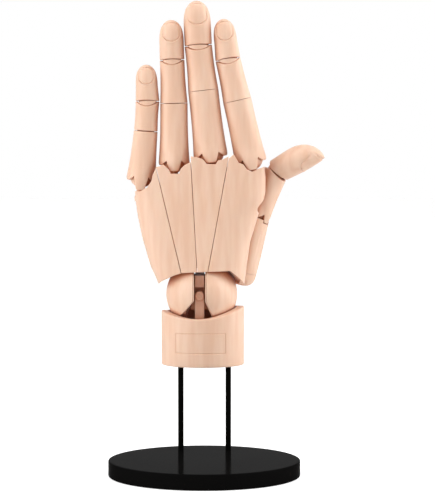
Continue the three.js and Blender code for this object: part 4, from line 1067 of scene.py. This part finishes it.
for node_name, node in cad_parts.items():
    node.data.materials.clear()
    node.data.materials.append(FINISHES["rod_black" if node_name.endswith("_pin") else "hand_beige"])

# Floor, light and camera


def white_where_seen(tree, shader_socket, target):
    """Shows plain white to the camera and to glossy rays, and the given shader to the rest."""
    path = tree.nodes.new("ShaderNodeLightPath")
    seen = tree.nodes.new("ShaderNodeMath")
    seen.operation = "MAXIMUM"
    tree.links.new(path.outputs["Is Camera Ray"], seen.inputs[0])
    through = tree.nodes.new("ShaderNodeMath")
    through.operation = "MAXIMUM"
    tree.links.new(path.outputs["Is Transmission Ray"], through.inputs[0])
    tree.links.new(path.outputs["Is Glossy Ray"], through.inputs[1])
    tree.links.new(through.outputs[0], seen.inputs[1])
    white = tree.nodes.new("ShaderNodeBackground")
    white.inputs["Strength"].default_value = 1.0
    white.inputs["Color"].default_value = (1, 1, 1, 1)
    choose = tree.nodes.new("ShaderNodeMixShader")
    tree.links.new(seen.outputs[0], choose.inputs[0])
    tree.links.new(shader_socket, choose.inputs[1])
    tree.links.new(white.outputs[0], choose.inputs[2])
    tree.links.new(choose.outputs[0], target)


def make_world():
    """A soft pale surround that the camera sees as white."""
    world = bpy.data.worlds.new("studio")
    bpy.context.scene.world = world
    world.use_nodes = True
    tree = world.node_tree
    tree.nodes.clear()
    soft = tree.nodes.new("ShaderNodeBackground")
    soft.inputs["Color"].default_value = (1.0, 0.985, 0.97, 1)
    soft.inputs["Strength"].default_value = 0.30
    output = tree.nodes.new("ShaderNodeOutputWorld")
    white_where_seen(tree, soft.outputs[0], output.inputs["Surface"])


def make_floor():
    """A pale floor that shows the base's soft shadow."""
    mesh = bpy.data.meshes.new("floor")
    size = 3.0
    corners = [(-size, -size, 0), (size, -size, 0), (size, size, 0), (-size, size, 0)]
    mesh.from_pydata(corners, [], [(0, 1, 2, 3)])
    floor = bpy.data.objects.new("floor", mesh)
    floor.location.z = -0.0002
    bpy.context.scene.collection.objects.link(floor)
    material, tree, shader = new_material("floor_white")
    shader.inputs["Base Color"].default_value = (0.9, 0.9, 0.9, 1)
    shader.inputs["Roughness"].default_value = 0.7
    glow = tree.nodes.new("ShaderNodeEmission")
    glow.inputs["Strength"].default_value = 0.62
    both = tree.nodes.new("ShaderNodeAddShader")
    path = tree.nodes.new("ShaderNodeLightPath")
    pick = tree.nodes.new("ShaderNodeMixShader")
    tree.links.new(path.outputs["Is Camera Ray"], pick.inputs[0])
    tree.links.new(glow.outputs[0], pick.inputs[2])
    tree.links.new(shader.outputs[0], both.inputs[0])
    tree.links.new(pick.outputs[0], both.inputs[1])
    tree.links.new(both.outputs[0], tree.nodes["Material Output"].inputs["Surface"])
    mesh.materials.append(material)


def make_lamp(name, place, aim, size, power):
    """A soft square lamp pointed at a place."""
    data = bpy.data.lights.new(name, "AREA")
    data.shape = "RECTANGLE"
    data.size, data.size_y = size
    data.energy = power
    lamp = bpy.data.objects.new(name, data)
    bpy.context.scene.collection.objects.link(lamp)
    lamp.location = place
    lamp.rotation_euler = (Vector(aim) - Vector(place)).to_track_quat("-Z", "Y").to_euler()


def make_camera():
    """The photograph's camera: far, a little above the hand's middle, long lens."""
    data = bpy.data.cameras.new("camera")
    data.sensor_fit = "VERTICAL"
    data.sensor_height = 36.0
    data.lens = 196.4
    data.clip_end = 20
    camera = bpy.data.objects.new("camera", data)
    bpy.context.scene.collection.objects.link(camera)
    camera.location = (0.0084, -1.7, 0.276)
    aim = Vector((0.0084, 0.040, 0.142))
    camera.rotation_euler = (aim - camera.location).to_track_quat("-Z", "Y").to_euler()
    bpy.context.scene.camera = camera


make_world()
make_floor()
make_lamp("left_soft", (-1.15, -0.45, 0.45), (0, 0.04, 0.18), (0.9, 1.2), 12.0)
make_lamp("right_soft", (1.2, 0.0, 0.45), (0, 0.04, 0.18), (0.9, 1.2), 12.5)
make_lamp("front_soft", (-0.1, -1.5, 0.6), (0, 0.04, 0.18), (1.2, 0.8), 1.2)
make_lamp("top_soft", (0.1, -0.1, 1.25), (0, 0.04, 0.2), (0.9, 0.9), 7.0)
make_camera()
bpy.context.scene.view_settings.view_transform = "Standard"
